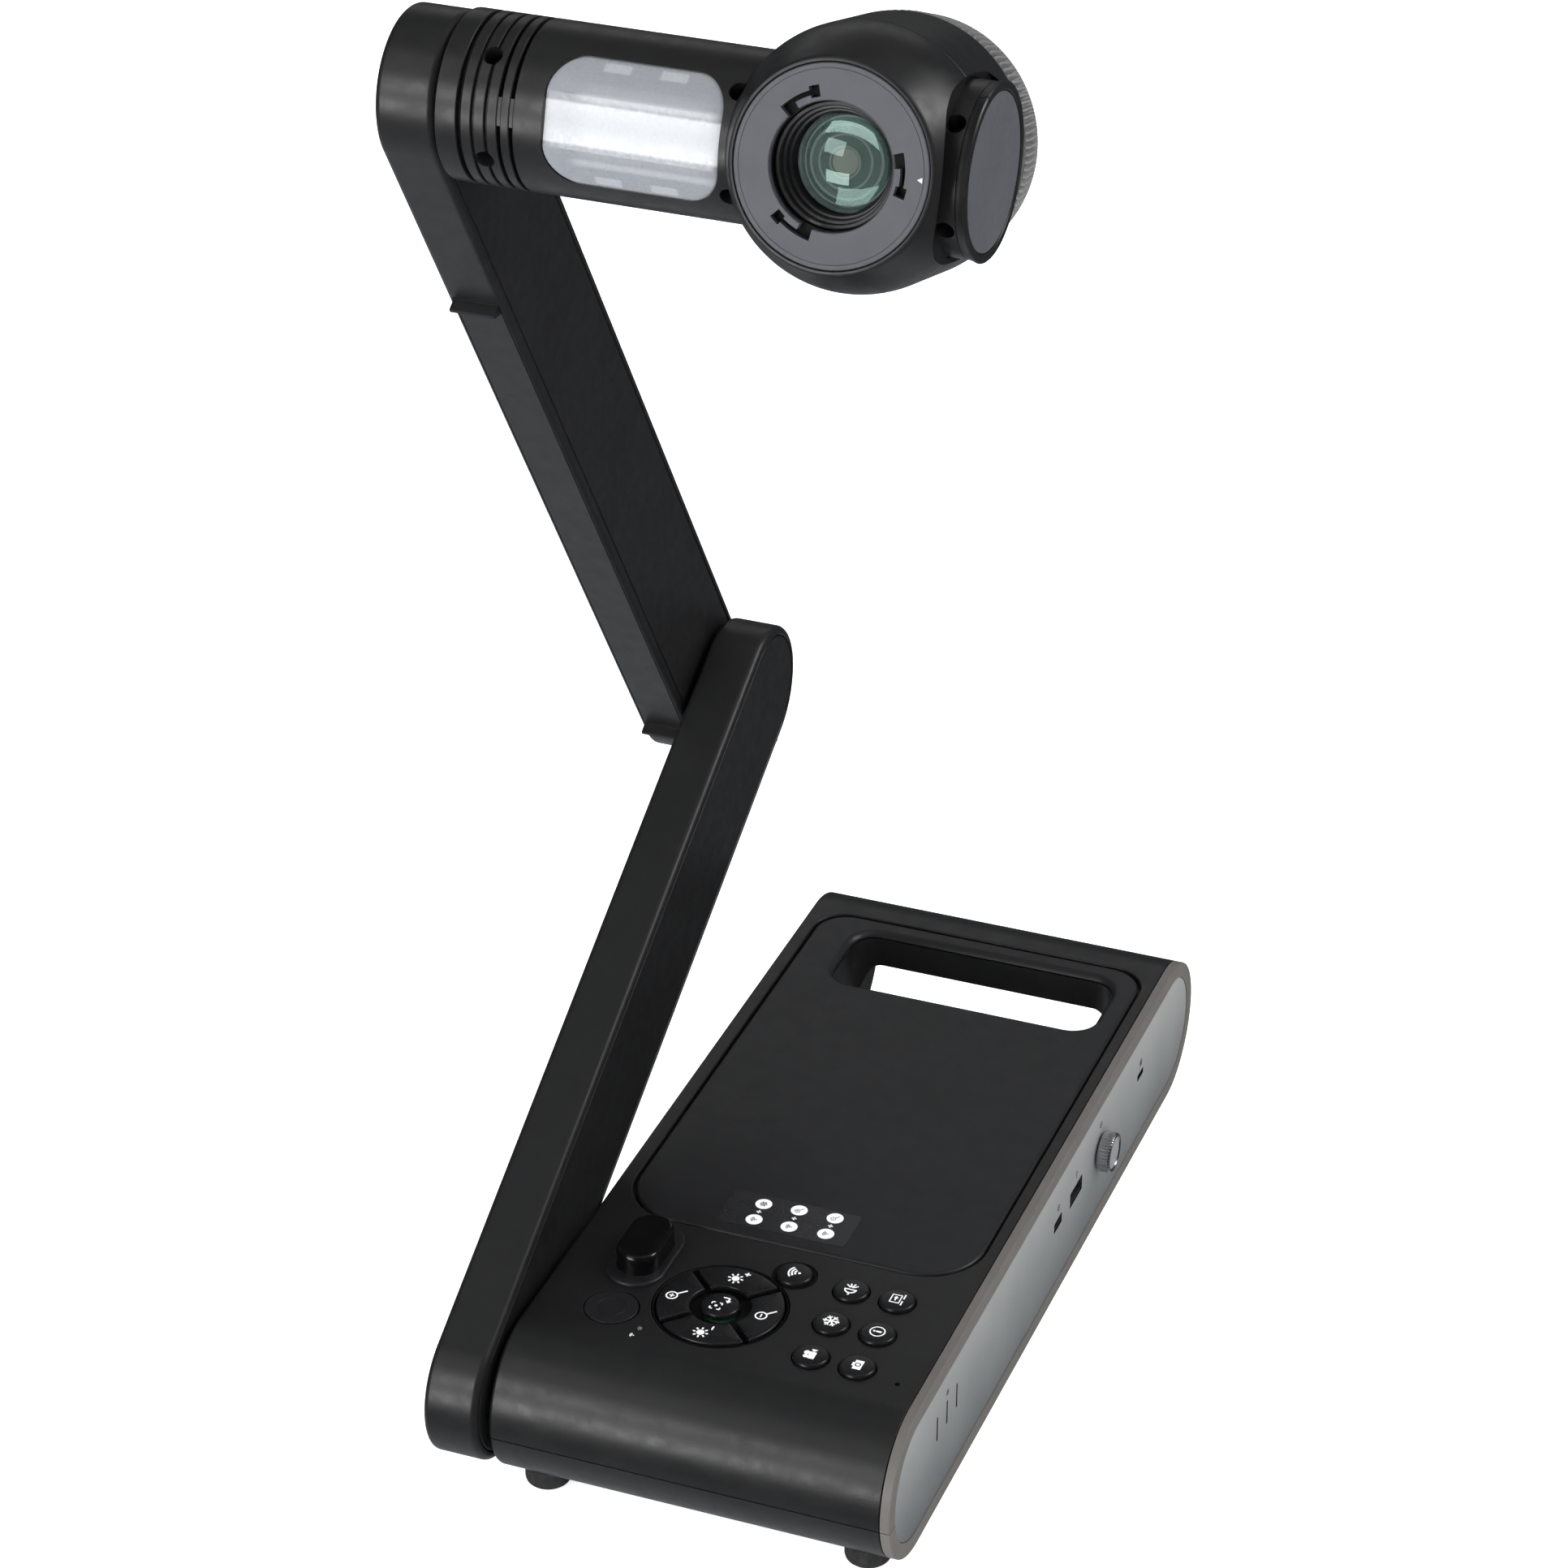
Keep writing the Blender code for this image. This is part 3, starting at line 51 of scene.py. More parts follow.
BASE_MID_Z = FOOT_HEIGHT + BASE_ROUND
DECK_Z = FOOT_HEIGHT + BASE_THICK
SHELL_RIGHT = BASE_RIGHT - BEZEL_THICK - GAP

PANEL_X = (BASE_LEFT + 0.0068, BASE_LEFT + 0.1429)
PANEL_Y = (BASE_FRONT + 0.1042, BASE_FRONT + 0.3262)
PANEL_ROUNDS = (0.023, 0.023, 0.014, 0.014)
SLOT_X = (BASE_LEFT + 0.0245, BASE_LEFT + 0.1335)
SLOT_Y = (BASE_FRONT + 0.2790, BASE_FRONT + 0.3172)
SLOT_ROUNDS = (0.010,) * 4
SCOOP_X = (BASE_LEFT + 0.0170, BASE_LEFT + 0.1410)

KEY_RADIUS, KEY_PROUD = 0.0066, 0.0013
KEY_GRID_X = (BASE_LEFT + 0.1060, BASE_LEFT + 0.1236)
KEY_GRID_Y = (BASE_FRONT + 0.0859, BASE_FRONT + 0.0651, BASE_FRONT + 0.0444)
WIFI_KEY = (BASE_LEFT + 0.0835, BASE_FRONT + 0.0878)
POWER_KEY, POWER_RADIUS = (BASE_LEFT + 0.0287, BASE_FRONT + 0.0469), 0.0098
NAV_CENTRE, NAV_RADIUS = (BASE_LEFT + 0.0651, BASE_FRONT + 0.0612), 0.0246
NAV_KEY_OUTER, NAV_KEY_INNER, NAV_KEY_SPLIT = 0.0232, 0.0112, 0.0011
NAV_TURNS = {"zoom_out_key": 0, "brighter_key": 90, "zoom_in_key": 180, "darker_key": 270}
NAV_ICON_AT = 0.0172
FOCUS_RADIUS = 0.0070
IR_CENTRE = (BASE_LEFT + 0.0284, BASE_FRONT + 0.0800)
IR_SIZE, IR_FLANGE = (0.0166, 0.0292), (0.0222, 0.0400)
IR_TOP = 0.0090
LED_AT = (BASE_LEFT + 0.0430, BASE_FRONT + 0.0388)
MIC_AT = (BASE_LEFT + 0.1398, BASE_FRONT + 0.0409)
LABEL_CENTRE, LABEL_SIZE = (BASE_LEFT + 0.0688, BASE_FRONT + 0.1205), (0.0505, 0.0205)

PORTS = ((BASE_FRONT + 0.2103, 0.0386, 0.0150, 0.0068), (BASE_FRONT + 0.1882, 0.0386, 0.0094, 0.0046),
         (BASE_FRONT + 0.2920, 0.0410, 0.0078, 0.0028))
VENT_Y = tuple(BASE_FRONT + 0.0614 + 0.0105 * (i - 1) for i in range(3))
VENT_SIZE, VENT_Z = (0.0014, 0.0107), 0.0410
KNOB_AT, KNOB_RADIUS, KNOB_PROUD = (BASE_FRONT + 0.2404, 0.0382), 0.0080, 0.0056
IO_Y = (BASE_FRONT + 0.1500, BASE_FRONT + 0.2440)
IO_Z = (0.0365, 0.0545)

ARM_THICK, ARM_HALF = 0.0208, 0.0268
ARM_COVER_INSET = 0.0034
LOWER_ARM_RIGHT = BASE_LEFT - 0.0018
UPPER_ARM_RIGHT = LOWER_ARM_RIGHT - ARM_THICK - 0.0020
LOWER_LENGTH, UPPER_LENGTH = 0.3026, 0.3877
LOWER_ANGLE, UPPER_ANGLE = math.radians(28.95), math.radians(122.69)
PIVOT = Vector((0.0, BASE_FRONT + 0.0206, 0.0391))
ELBOW = PIVOT + LOWER_LENGTH * Vector((0, math.cos(LOWER_ANGLE), math.sin(LOWER_ANGLE)))
NECK = ELBOW + UPPER_LENGTH * Vector((0, math.cos(UPPER_ANGLE), math.sin(UPPER_ANGLE)))
STRIP_START, STRIP_INSET, STRIP_DEPTH, STRIP_LIP = 0.0045, 0.0022, 0.0014, 0.0045
LOWER_LIPS, UPPER_LIPS = (0.3012,), (0.0099, 0.3040)

LENS_TILT = math.radians(15.6)
TUBE_RADIUS = 0.0278
COLLAR_LEFT, TUBE_LEFT = UPPER_ARM_RIGHT + 0.0008, BASE_LEFT - 0.0153
TUBE_RIGHT = BASE_LEFT + 0.1500
POCKET_LEFT, POCKET_RADIUS = BASE_LEFT + 0.1440, 0.0349
GROOVE_X = tuple(BASE_LEFT + d for d in (-0.0109, -0.0063, -0.0018, 0.0024))
DRUM_X, DRUM_FRONT = BASE_LEFT + 0.1129, 0.0377
DRUM_RADIUS, FACE_RADIUS, DRUM_SPLIT, DRUM_BACK = 0.0425, 0.0334, 0.0281, 0.0662
RING_BACK, PLATE_RADIUS, BORE_RADIUS = 0.0840, 0.0317, 0.0202
GRIP_FRONT, GRIP_REAR, GRIP_TEETH, GRIP_DEPTH = 0.0423, 0.0402, 112, 0.0018
LAMP_X = (BASE_LEFT + 0.0130, BASE_LEFT + 0.0722)
LAMP_HALF_HEIGHT, LAMP_ROUND = 0.0201, 0.0115
CAP_RADIUS, CAP_DISC_RADIUS, CAP_RIGHT = 0.0286, 0.0253, BASE_LEFT + 0.1536
HEAD_SCREW_X = (BASE_LEFT - 0.0074, BASE_LEFT + 0.0755, BASE_LEFT + 0.1456)
HEAD_SCREW_ANGLE, HEAD_SCREW_RADIUS = math.radians(36.5), 0.0029

SIDEWAYS = Matrix(((0, 0, 1, 0), (1, 0, 0, 0), (0, 1, 0, 0), (0, 0, 0, 1)))
ALONG_X = Matrix.Rotation(math.radians(90), 4, "Y")
LENS_FRAME = Matrix.Rotation(math.radians(90) - LENS_TILT, 4, "X")
LENS_DIR = LENS_FRAME @ Vector((0, 0, 1))
PLATE_CENTRE = Vector((DRUM_X, NECK.y, NECK.z)) + DRUM_FRONT * LENS_DIR
LENS_PLACE = Matrix.Translation(PLATE_CENTRE) @ LENS_FRAME


# ----------------------------------------------------------------- materials
class Nodes:
    """A material being built around its Principled shader."""

    def __init__(self, name):
        self.mat = bpy.data.materials.new(name)
        self.mat.use_nodes = True
        self.tree = self.mat.node_tree
        self.shader = self.tree.nodes["Principled BSDF"]
        self.coords = self.tree.nodes.new("ShaderNodeTexCoord").outputs["Object"]

    def add(self, kind, inputs=None, **settings):
        node = self.tree.nodes.new(kind)
        for key, value in settings.items():
            setattr(node, key, value)
        for key, value in (inputs or {}).items():
            if isinstance(value, bpy.types.NodeSocket):
                self.tree.links.new(value, node.inputs[key])
            else:
                node.inputs[key].default_value = value
        return node

    def noise(self, scale, detail=2.0, rough=0.5, vector=None):
        return self.add("ShaderNodeTexNoise", {"Vector": vector or self.coords, "Scale": scale,
                                               "Detail": detail, "Roughness": rough}).outputs["Fac"]

    def stretched(self, scales):
        return self.add("ShaderNodeMapping", {"Vector": self.coords, "Scale": scales}).outputs["Vector"]

    def remap(self, value, low, high, to_low, to_high):
        return self.add("ShaderNodeMapRange", {"Value": value, "From Min": low, "From Max": high,
                                               "To Min": to_low, "To Max": to_high}).outputs["Result"]

    def math(self, operation, first, second):
        return self.add("ShaderNodeMath", {0: first, 1: second}, operation=operation).outputs[0]

    def mix(self, factor, first, second):
        node = self.add("ShaderNodeMix", data_type="RGBA")
        for socket, value in ((node.inputs["Factor"], factor), (node.inputs["A"], first),
                              (node.inputs["B"], second)):
            if isinstance(value, bpy.types.NodeSocket):
                self.tree.links.new(value, socket)
            else:
                socket.default_value = value
        return node.outputs["Result"]

    def feed(self, socket, value):
        self.tree.links.new(value, self.shader.inputs[socket])

    def bump(self, height, strength, distance):
        node = self.add("ShaderNodeBump", {"Height": height, "Strength": strength,
                                           "Distance": distance})
        self.feed("Normal", node.outputs["Normal"])


def shade_of(colour, factor):
    return tuple(min(c * factor, 1.0) for c in colour) + (1.0,)


def moulded(name, colour, rough, grain=0.35, mottle=0.10, spread=0.05, metallic=0.0, level=0.5):
    """Moulded plastic: a fine spark-eroded grain, faint handling marks and flow mottling."""
    n = Nodes(name)
    n.shader.inputs["Metallic"].default_value = metallic
    n.shader.inputs["Specular IOR Level"].default_value = level
    flow = n.noise(38, 4, 0.6)
    n.feed("Base Color", n.mix(n.remap(flow, 0.3, 0.7, 0.0, 1.0), shade_of(colour, 1 - mottle),
                               shade_of(colour, 1 + mottle)))
    handled = n.noise(150, 5, 0.65)
    streaks = n.noise(1, 3, 0.6, n.stretched((900, 60, 240)))
    wear = n.math("ADD", n.remap(handled, 0.35, 0.7, -spread, spread),
                  n.remap(streaks, 0.62, 0.78, 0.0, -spread))
    n.feed("Roughness", n.math("ADD", wear, rough))
    fine = n.math("ADD", n.noise(2400, 2, 0.6), n.remap(handled, 0, 1, 0.0, 0.15))
    n.bump(fine, grain, 0.00004)
    return n.mat


def brushed(name, colour, rough, scales, strength=0.25):
    """Metal with fine drawn lines along one direction."""
    n = Nodes(name)
    n.shader.inputs["Metallic"].default_value = 1.0
    lines = n.noise(1, 4, 0.7, n.stretched(scales))
    n.feed("Base Color", n.mix(n.remap(n.noise(90, 3), 0.35, 0.65, 0.0, 1.0),
                               shade_of(colour, 0.86), shade_of(colour, 1.05)))
    n.feed("Roughness", n.remap(lines, 0.25, 0.75, rough - 0.08, rough + 0.1))
    n.bump(lines, strength, 0.00003)
    return n.mat


def printed(name, colour):
    """Screen-printed ink: slightly uneven cover, a dry surface and a faint painted glow."""
    n = Nodes(name)
    n.shader.inputs["Specular IOR Level"].default_value = 0.3
    # Painted light: the ink glows faintly, so it reads lighter than the lamps alone make it.
    n.shader.inputs["Emission Color"].default_value = (*colour, 1.0)
    n.shader.inputs["Emission Strength"].default_value = 0.16 * colour[0]
    n.feed("Base Color", n.mix(n.remap(n.noise(2600, 3, 0.7), 0.35, 0.7, 0.0, 1.0),
                               shade_of(colour, 0.82), shade_of(colour, 1.0)))
    n.feed("Roughness", n.remap(n.noise(900, 2), 0.3, 0.7, 0.45, 0.62))
    n.bump(n.noise(3000, 2), 0.2, 0.00002)
    return n.mat


def glossy(name, colour, rough, tint=(1, 1, 1), level=0.5):
    """Polished acrylic or coated glass: dust specks and a soft waviness in the reflection."""
    n = Nodes(name)
    n.shader.inputs["Specular IOR Level"].default_value = level
    n.shader.inputs["Specular Tint"].default_value = (*tint, 1.0)
    n.feed("Base Color", n.mix(n.noise(60, 3), shade_of(colour, 0.8), shade_of(colour, 1.2)))
    specks = n.remap(n.noise(1600, 2, 0.4), 0.68, 0.78, 0.0, 0.12)
    n.feed("Roughness", n.math("ADD", specks, rough))
    n.bump(n.noise(70, 2), 0.05, 0.0002)
    return n.mat


def glow(mat, colour, strength):
    """Painted light: an emission glow for parts that are no lamp, standing in for the light that hardly
    reaches them deep behind glass.
    """
    shader = mat.node_tree.nodes["Principled BSDF"]
    shader.inputs["Emission Color"].default_value = (*colour, 1.0)
    shader.inputs["Emission Strength"].default_value = strength
    return mat


def clear_glass(name, tint):
    """Transparent lens glass with a coated, tinted reflection."""
    n = Nodes(name)
    n.shader.inputs["Transmission Weight"].default_value = 1.0
    n.shader.inputs["IOR"].default_value = 1.45
    n.shader.inputs["Specular IOR Level"].default_value = 0.14
    n.shader.inputs["Specular Tint"].default_value = (*tint, 1.0)
    n.feed("Base Color", n.mix(n.noise(90, 2), (0.80, 0.92, 0.90, 1), (0.92, 0.98, 0.97, 1)))
    n.feed("Roughness", n.math("ADD", n.remap(n.noise(1800, 2), 0.7, 0.8, 0.0, 0.1), 0.02))
    return n.mat


def circuit(name, colour):
    """Solder mask with tracks showing through it."""
    n = Nodes(name)
    cells = n.add("ShaderNodeTexBrick", {"Vector": n.coords, "Scale": 260.0, "Mortar Size": 0.06,
                                         "Color1": shade_of(colour, 0.9),
                                         "Color2": shade_of(colour, 1.15),
                                         "Mortar": shade_of(colour, 2.2)})
    n.feed("Base Color", cells.outputs["Color"])
    n.feed("Roughness", n.remap(n.noise(400, 3), 0.3, 0.7, 0.35, 0.6))
    n.bump(cells.outputs["Fac"], 0.3, 0.00005)
    return n.mat


def rubber(name, colour):
    n = Nodes(name)
    n.shader.inputs["Specular IOR Level"].default_value = 0.35
    n.feed("Base Color", n.mix(n.remap(n.noise(240, 4, 0.7), 0.4, 0.65, 0.0, 1.0),
                               shade_of(colour, 0.85), shade_of(colour, 1.5)))
    n.feed("Roughness", n.remap(n.noise(500, 3), 0.3, 0.7, 0.68, 0.88))
    n.bump(n.noise(1500, 3), 0.4, 0.0001)
    return n.mat


def panel_metal(name):
    """The side panel: satin silver paint, with painted light: lighter towards the top and a little
    lighter towards the back.
    """
    n = Nodes(name)
    n.shader.inputs["Metallic"].default_value = 0.35
    split = n.add("ShaderNodeSeparateXYZ", {0: n.coords})
    # Painted light: the colour ramps lighter up the panel and towards the back.
    painted_light_fade = n.math("ADD", n.remap(split.outputs["Y"], BASE_FRONT, BASE_BACK, 0.0, 0.22),
                  n.remap(split.outputs["Z"], 0.012, 0.056, 0.0, 0.78))
    cloud = n.remap(n.noise(30, 3), 0.3, 0.7, -0.06, 0.06)
    n.feed("Base Color", n.mix(n.math("ADD", painted_light_fade, cloud), (0.118, 0.132, 0.137, 1),
                               (0.345, 0.356, 0.352, 1)))
    flakes = n.noise(5200, 2, 0.8)
    n.feed("Roughness", n.remap(flakes, 0.3, 0.7, 0.34, 0.50))
    n.bump(flakes, 0.15, 0.00003)
    return n.mat


def lit_diffuser(name):
    """Milky lamp cover: a bright field of lamp rows behind it that fades to its rim."""
    n = Nodes(name)
    middle = Vector((sum(LAMP_X) / 2, NECK.y, NECK.z))
    up = LENS_FRAME @ Vector((0, 1, 0))
    shift = n.add("ShaderNodeVectorMath", {0: n.coords, 1: tuple(middle)}, operation="SUBTRACT")
    spots = {}
    for tag, axis in (("x", (1, 0, 0)), ("v", tuple(up))):
        spots[tag] = n.add("ShaderNodeVectorMath", {0: shift.outputs[0], 1: axis},
                           operation="DOT_PRODUCT").outputs["Value"]

    def window(value, low, high, soft):
        rise = n.add("ShaderNodeMapRange", {"Value": value, "From Min": low - soft,
                                            "From Max": low + soft}, interpolation_type="SMOOTHSTEP")
        fall = n.add("ShaderNodeMapRange", {"Value": value, "From Min": high + soft,
                                            "From Max": high - soft}, interpolation_type="SMOOTHSTEP")
        return n.math("MULTIPLY", rise.outputs[0], fall.outputs[0])

    field = n.math("MULTIPLY", window(spots["x"], -0.0165, 0.0250, 0.0050),
                   window(spots["v"], -0.0105, 0.0110, 0.0030))
    band = n.math("MULTIPLY", window(spots["x"], -0.034, 0.034, 0.001),
                  window(spots["v"], -0.0070, 0.0062, 0.0006))
    rows = n.math("MULTIPLY", window(spots["x"], -0.019, 0.028, 0.003),
                  n.math("ADD", window(spots["v"], 0.0072, 0.0092, 0.0008),
                         window(spots["v"], -0.0135, -0.0115, 0.0008)))
    clips = n.math("MULTIPLY", n.math("ADD", window(spots["x"], -0.0125, -0.0035, 0.0005),
                                      window(spots["x"], 0.0065, 0.0155, 0.0005)),
                   n.math("ADD", window(spots["v"], 0.0165, 0.0190, 0.0003),
                          window(spots["v"], -0.0190, -0.0165, 0.0003)))
    glow = n.math("ADD", n.math("MULTIPLY", field, 0.08), n.math("MULTIPLY", band, 0.37))
    glow = n.math("ADD", glow, n.math("MULTIPLY", rows, 0.16))
    glow = n.math("ADD", glow, n.math("MULTIPLY", clips, 0.14))
    glow = n.math("ADD", glow, n.remap(spots["v"], -0.020, 0.020, 0.06, 0.12))
    n.shader.inputs["Emission Color"].default_value = (0.97, 0.99, 1.0, 1.0)
    n.feed("Emission Strength", glow)
    n.feed("Base Color", n.mix(n.noise(120, 3), (0.135, 0.145, 0.165, 1), (0.155, 0.165, 0.185, 1)))
    n.feed("Roughness", n.remap(n.noise(700, 2), 0.3, 0.7, 0.22, 0.36))
    n.bump(n.noise(1800, 2), 0.12, 0.00004)
    return n.mat


def floor_paint(name, glow):
    n = Nodes(name)
    n.feed("Base Color", n.mix(n.noise(3, 3), (0.86, 0.86, 0.86, 1), (0.90, 0.90, 0.90, 1)))
    n.feed("Roughness", n.remap(n.noise(40, 3), 0.3, 0.7, 0.55, 0.7))
    n.shader.inputs["Emission Color"].default_value = (1, 1, 1, 1)
    n.shader.inputs["Emission Strength"].default_value = glow
    return n.mat


MATERIALS = {
    "black_plastic": moulded("black_plastic_grained", (0.0080, 0.0081, 0.0088), 0.38),
    "deck_plastic": moulded("deck_plastic_grained", (0.0085, 0.0087, 0.0099), 0.43, grain=0.45),
    "key_rubber": moulded("key_caps", (0.0060, 0.0061, 0.0068), 0.30, grain=0.2, spread=0.04),
    "ir_acrylic": glossy("ir_acrylic_polished", (0.0022, 0.0020, 0.0024), 0.16),
    "face_grey": moulded("face_grey_grained", (0.060, 0.062, 0.074), 0.56, grain=0.3, mottle=0.06),
    "bezel_taupe": moulded("bezel_taupe_grained", (0.108, 0.101, 0.093), 0.50, mottle=0.06),
    "panel_silver": panel_metal("panel_silver_satin"),
    "chrome": brushed("chrome_turned", (0.52, 0.53, 0.55), 0.20, (60, 1500, 1500), 0.1),
    "steel": brushed("steel_drawn", (0.46, 0.46, 0.47), 0.34, (80, 2400, 2400)),
    "brass": brushed("brass_turned", (0.60, 0.45, 0.22), 0.33, (2600, 120, 120)),
    "circuit_board": circuit("circuit_board_mask", (0.015, 0.100, 0.050)),
    "foot_rubber": rubber("foot_rubber_worn", (0.017, 0.017, 0.017)),
    "label_film": moulded("label_film_satin", (0.0150, 0.0152, 0.0165), 0.30, grain=0.12),
    "lens_glass": clear_glass("lens_glass_coated", (0.75, 1.0, 0.92)),
    "diffuser": lit_diffuser("diffuser_milky"),
    "ring_grey": moulded("ring_grey_grained", (0.165, 0.163, 0.165), 0.50, grain=0.3),
}
INK = printed("ink_white", (0.86, 0.87, 0.88))
INK_GREY = printed("ink_grey", (0.055, 0.057, 0.060))
# Painted shade: a darker, duller black laid on the insides of openings, gaps and wells, where shade
# falls.
PAINTED_SHADE_BLACK = moulded("painted_shade_black", (0.0035, 0.0035, 0.0038), 0.6, level=0.15)
LED_GREY = glossy("status_lens", (0.090, 0.092, 0.095), 0.25)
KNOB_FACE = moulded("knob_face", (0.420, 0.425, 0.430), 0.36, metallic=0.6, grain=0.2)
# Painted light: the inner lens parts glow, standing in for the light and tinted reflections that hardly
# reach them behind the front glass; the element rims glow as painted highlights.
COATING_PAINTED_GLOW = glow(glossy("inner_element_coating_painted_glow", (0.003, 0.010, 0.009), 0.30, (0.45, 1.0, 0.80), 0.06),
               (0.25, 1.0, 0.85), 0.008)
IRIS = glow(glossy("iris_film", (0.010, 0.015, 0.013), 0.32, (0.7, 1.0, 0.85), 0.06),
            (0.80, 1.0, 0.88), 0.016)
IRIS_CENTRE = glow(glossy("iris_centre_film", (0.060, 0.058, 0.048), 0.32, (1.0, 0.95, 0.8), 0.1),
                   (1.0, 0.95, 0.80), 0.060)
ELEMENT_RIM = glow(moulded("element_rim", (0.035, 0.040, 0.038), 0.45, grain=0.1, level=0.15),
                   (0.92, 1.0, 0.97), 0.075)


# -------------------------------------------------------------- mesh helpers
def arc(centre, radius, first, last, steps):
    angles = [math.radians(first + (last - first) * i / steps) for i in range(steps + 1)]
    return [(centre[0] + radius * math.cos(a), centre[1] + radius * math.sin(a)) for a in angles]


def stadium(length, radius, start=0.0, steps=40):
    return (arc((start, 0.0), radius, 90, 270, steps)
            + arc((start + length, 0.0), radius, -90, 90, steps))


def rounded_box(x_range, y_range, radii, steps=12):
    (x0, x1), (y0, y1) = x_range, y_range
    r0, r1, r2, r3 = radii
    return (arc((x0 + r0, y0 + r0), r0, 180, 270, steps)
            + arc((x1 - r1, y0 + r1), r1, 270, 360, steps)
            + arc((x1 - r2, y1 - r2), r2, 0, 90, steps)
            + arc((x0 + r3, y1 - r3), r3, 90, 180, steps))


def box_outline(x_range, y_range, radii, steps=12):
    """An outline that can be inset: a rounded box whose corner radii shrink with it."""
    def outline(inset):
        return rounded_box((x_range[0] + inset, x_range[1] - inset),
                           (y_range[0] + inset, y_range[1] - inset),
                           [max(r - inset, 0.0001) for r in radii], steps)
    return outline


def centred_box(centre, size, radius, steps=12):
    (x, y), (w, h) = centre, size
    return box_outline((x - w / 2, x + w / 2), (y - h / 2, y + h / 2), (radius,) * 4, steps)


def base_outline(inset, steps=48):
    points = stadium(BASE_LENGTH - BASE_THICK, BASE_ROUND - inset, BASE_FRONT + BASE_ROUND, steps)
    return [(y, z + BASE_MID_Z) for y, z in points]


def corner(points, radius, closed=True, steps=4):
    """Round the corners of a 2D polyline, each as far as its neighbours allow."""
    out, count = [], len(points)
    for i, point in enumerate(points):
        here, before, after = Vector(point), Vector(points[i - 1]), Vector(points[(i + 1) % count])
        if not closed and i in (0, count - 1):
            out.append(tuple(point))
            continue
        back, ahead = before - here, after - here
        half = back.angle(ahead) / 2
        if abs(half - math.pi / 2) < 0.05:
            out.append(tuple(point))
            continue
        reach = min(radius / math.tan(half), back.length * 0.48, ahead.length * 0.48)
        size = reach * math.tan(half)
        start, end = here + back.normalized() * reach, here + ahead.normalized() * reach
        middle = here + (back.normalized() + ahead.normalized()).normalized() * size / math.sin(half)
        first, last = start - middle, end - middle
        turn = math.atan2(first.x * last.y - first.y * last.x, first.dot(last))
        angle = math.atan2(first.y, first.x)
        out.extend((middle.x + first.length * math.cos(angle + turn * k / steps),
                    middle.y + first.length * math.sin(angle + turn * k / steps))
                   for k in range(steps + 1))
    return out


def finish_mesh(name, bm, place, mat, angle=32):
    bmesh.ops.remove_doubles(bm, verts=bm.verts, dist=1e-7)
    bmesh.ops.recalc_face_normals(bm, faces=bm.faces)
    mesh = bpy.data.meshes.new(name)
    bm.to_mesh(mesh)
    bm.free()
    mesh.transform(place)
    if mat:
        mesh.materials.append(mat)
    obj = bpy.data.objects.new(name, mesh)
    bpy.context.scene.collection.objects.link(obj)
    return shade(obj, angle)


def shade(obj, angle=32):
    obj.data.shade_smooth()
    obj.data.set_sharp_from_angle(angle=math.radians(angle))
    return obj


def skin(bm, rings):
    """Join each ring of corners to the next."""
    for one, two in zip(rings, rings[1:]):
        for i in range(len(one)):
            j = (i + 1) % len(one)
            bm.faces.new((one[i], one[j], two[j], two[i]))


def rod(radius, low, high):
    """The profile of a plain rod, to lathe."""
    return [(0, low), (radius, low), (radius, high), (0, high)]


def lathe(name, profile, place, mat=None, steps=96, span=(0, 360), radius_at=None):
    """Revolve (radius, height) points about the place's own Z, fully or over a span."""
    full = span[1] - span[0] == 360
    closed = profile[0] == profile[-1]
    points = profile[:-1] if closed else profile
    bm = bmesh.new()
    rings = []
    for k in range(steps if full else steps + 1):
        angle = math.radians(span[0] + (span[1] - span[0]) * k / steps)
        ring = []
        for radius, height in points:
            r = radius_at(radius, height, angle) if radius_at else radius
            ring.append(bm.verts.new((r * math.cos(angle), r * math.sin(angle), height)))
        rings.append(ring)
    count = len(points)
    for k in range(steps):
        one, two = rings[k], rings[(k + 1) % len(rings)]
        for i in range(count if closed else count - 1):
            j = (i + 1) % count
            bm.faces.new((one[i], two[i], two[j], one[j]))
    if not full:
        bm.faces.new(rings[0])
        bm.faces.new(rings[-1][::-1])
    return finish_mesh(name, bm, place, mat)


def loft(name, outline, stations, place=Matrix.Identity(4), mat=None):
    """Stack one outline at (inset, height) stations and close both ends."""
    bm = bmesh.new()
    rings = [[bm.verts.new((x, y, height)) for x, y in outline(inset)] for inset, height in stations]
    skin(bm, rings)
    bm.faces.new(rings[0][::-1])
    bm.faces.new(rings[-1])
    return finish_mesh(name, bm, place, mat)


def edges(low, high, round_low, round_high, steps=5):
    """Stations between two heights with a rounded edge at each end."""
    quarter = [math.radians(90 * k / steps) for k in range(steps + 1)]
    bottom = [(round_low * (1 - math.sin(a)), low + round_low * (1 - math.cos(a))) for a in quarter]
    top = [(round_high * (1 - math.cos(a)), high - round_high * (1 - math.sin(a))) for a in quarter]
    return bottom + top


def flare(depth, height, rise, steps=6):
    """Stations of a cutter that leaves a rounded edge around the opening it cuts."""
    quarter = [math.radians(90 * k / steps) for k in range(steps + 1)]
    lip = [(-rise * (1 - math.cos(a)), height - rise * (1 - math.sin(a))) for a in quarter]
    return [(0.0, height - depth)] + lip + [(-rise, height + 0.004)]


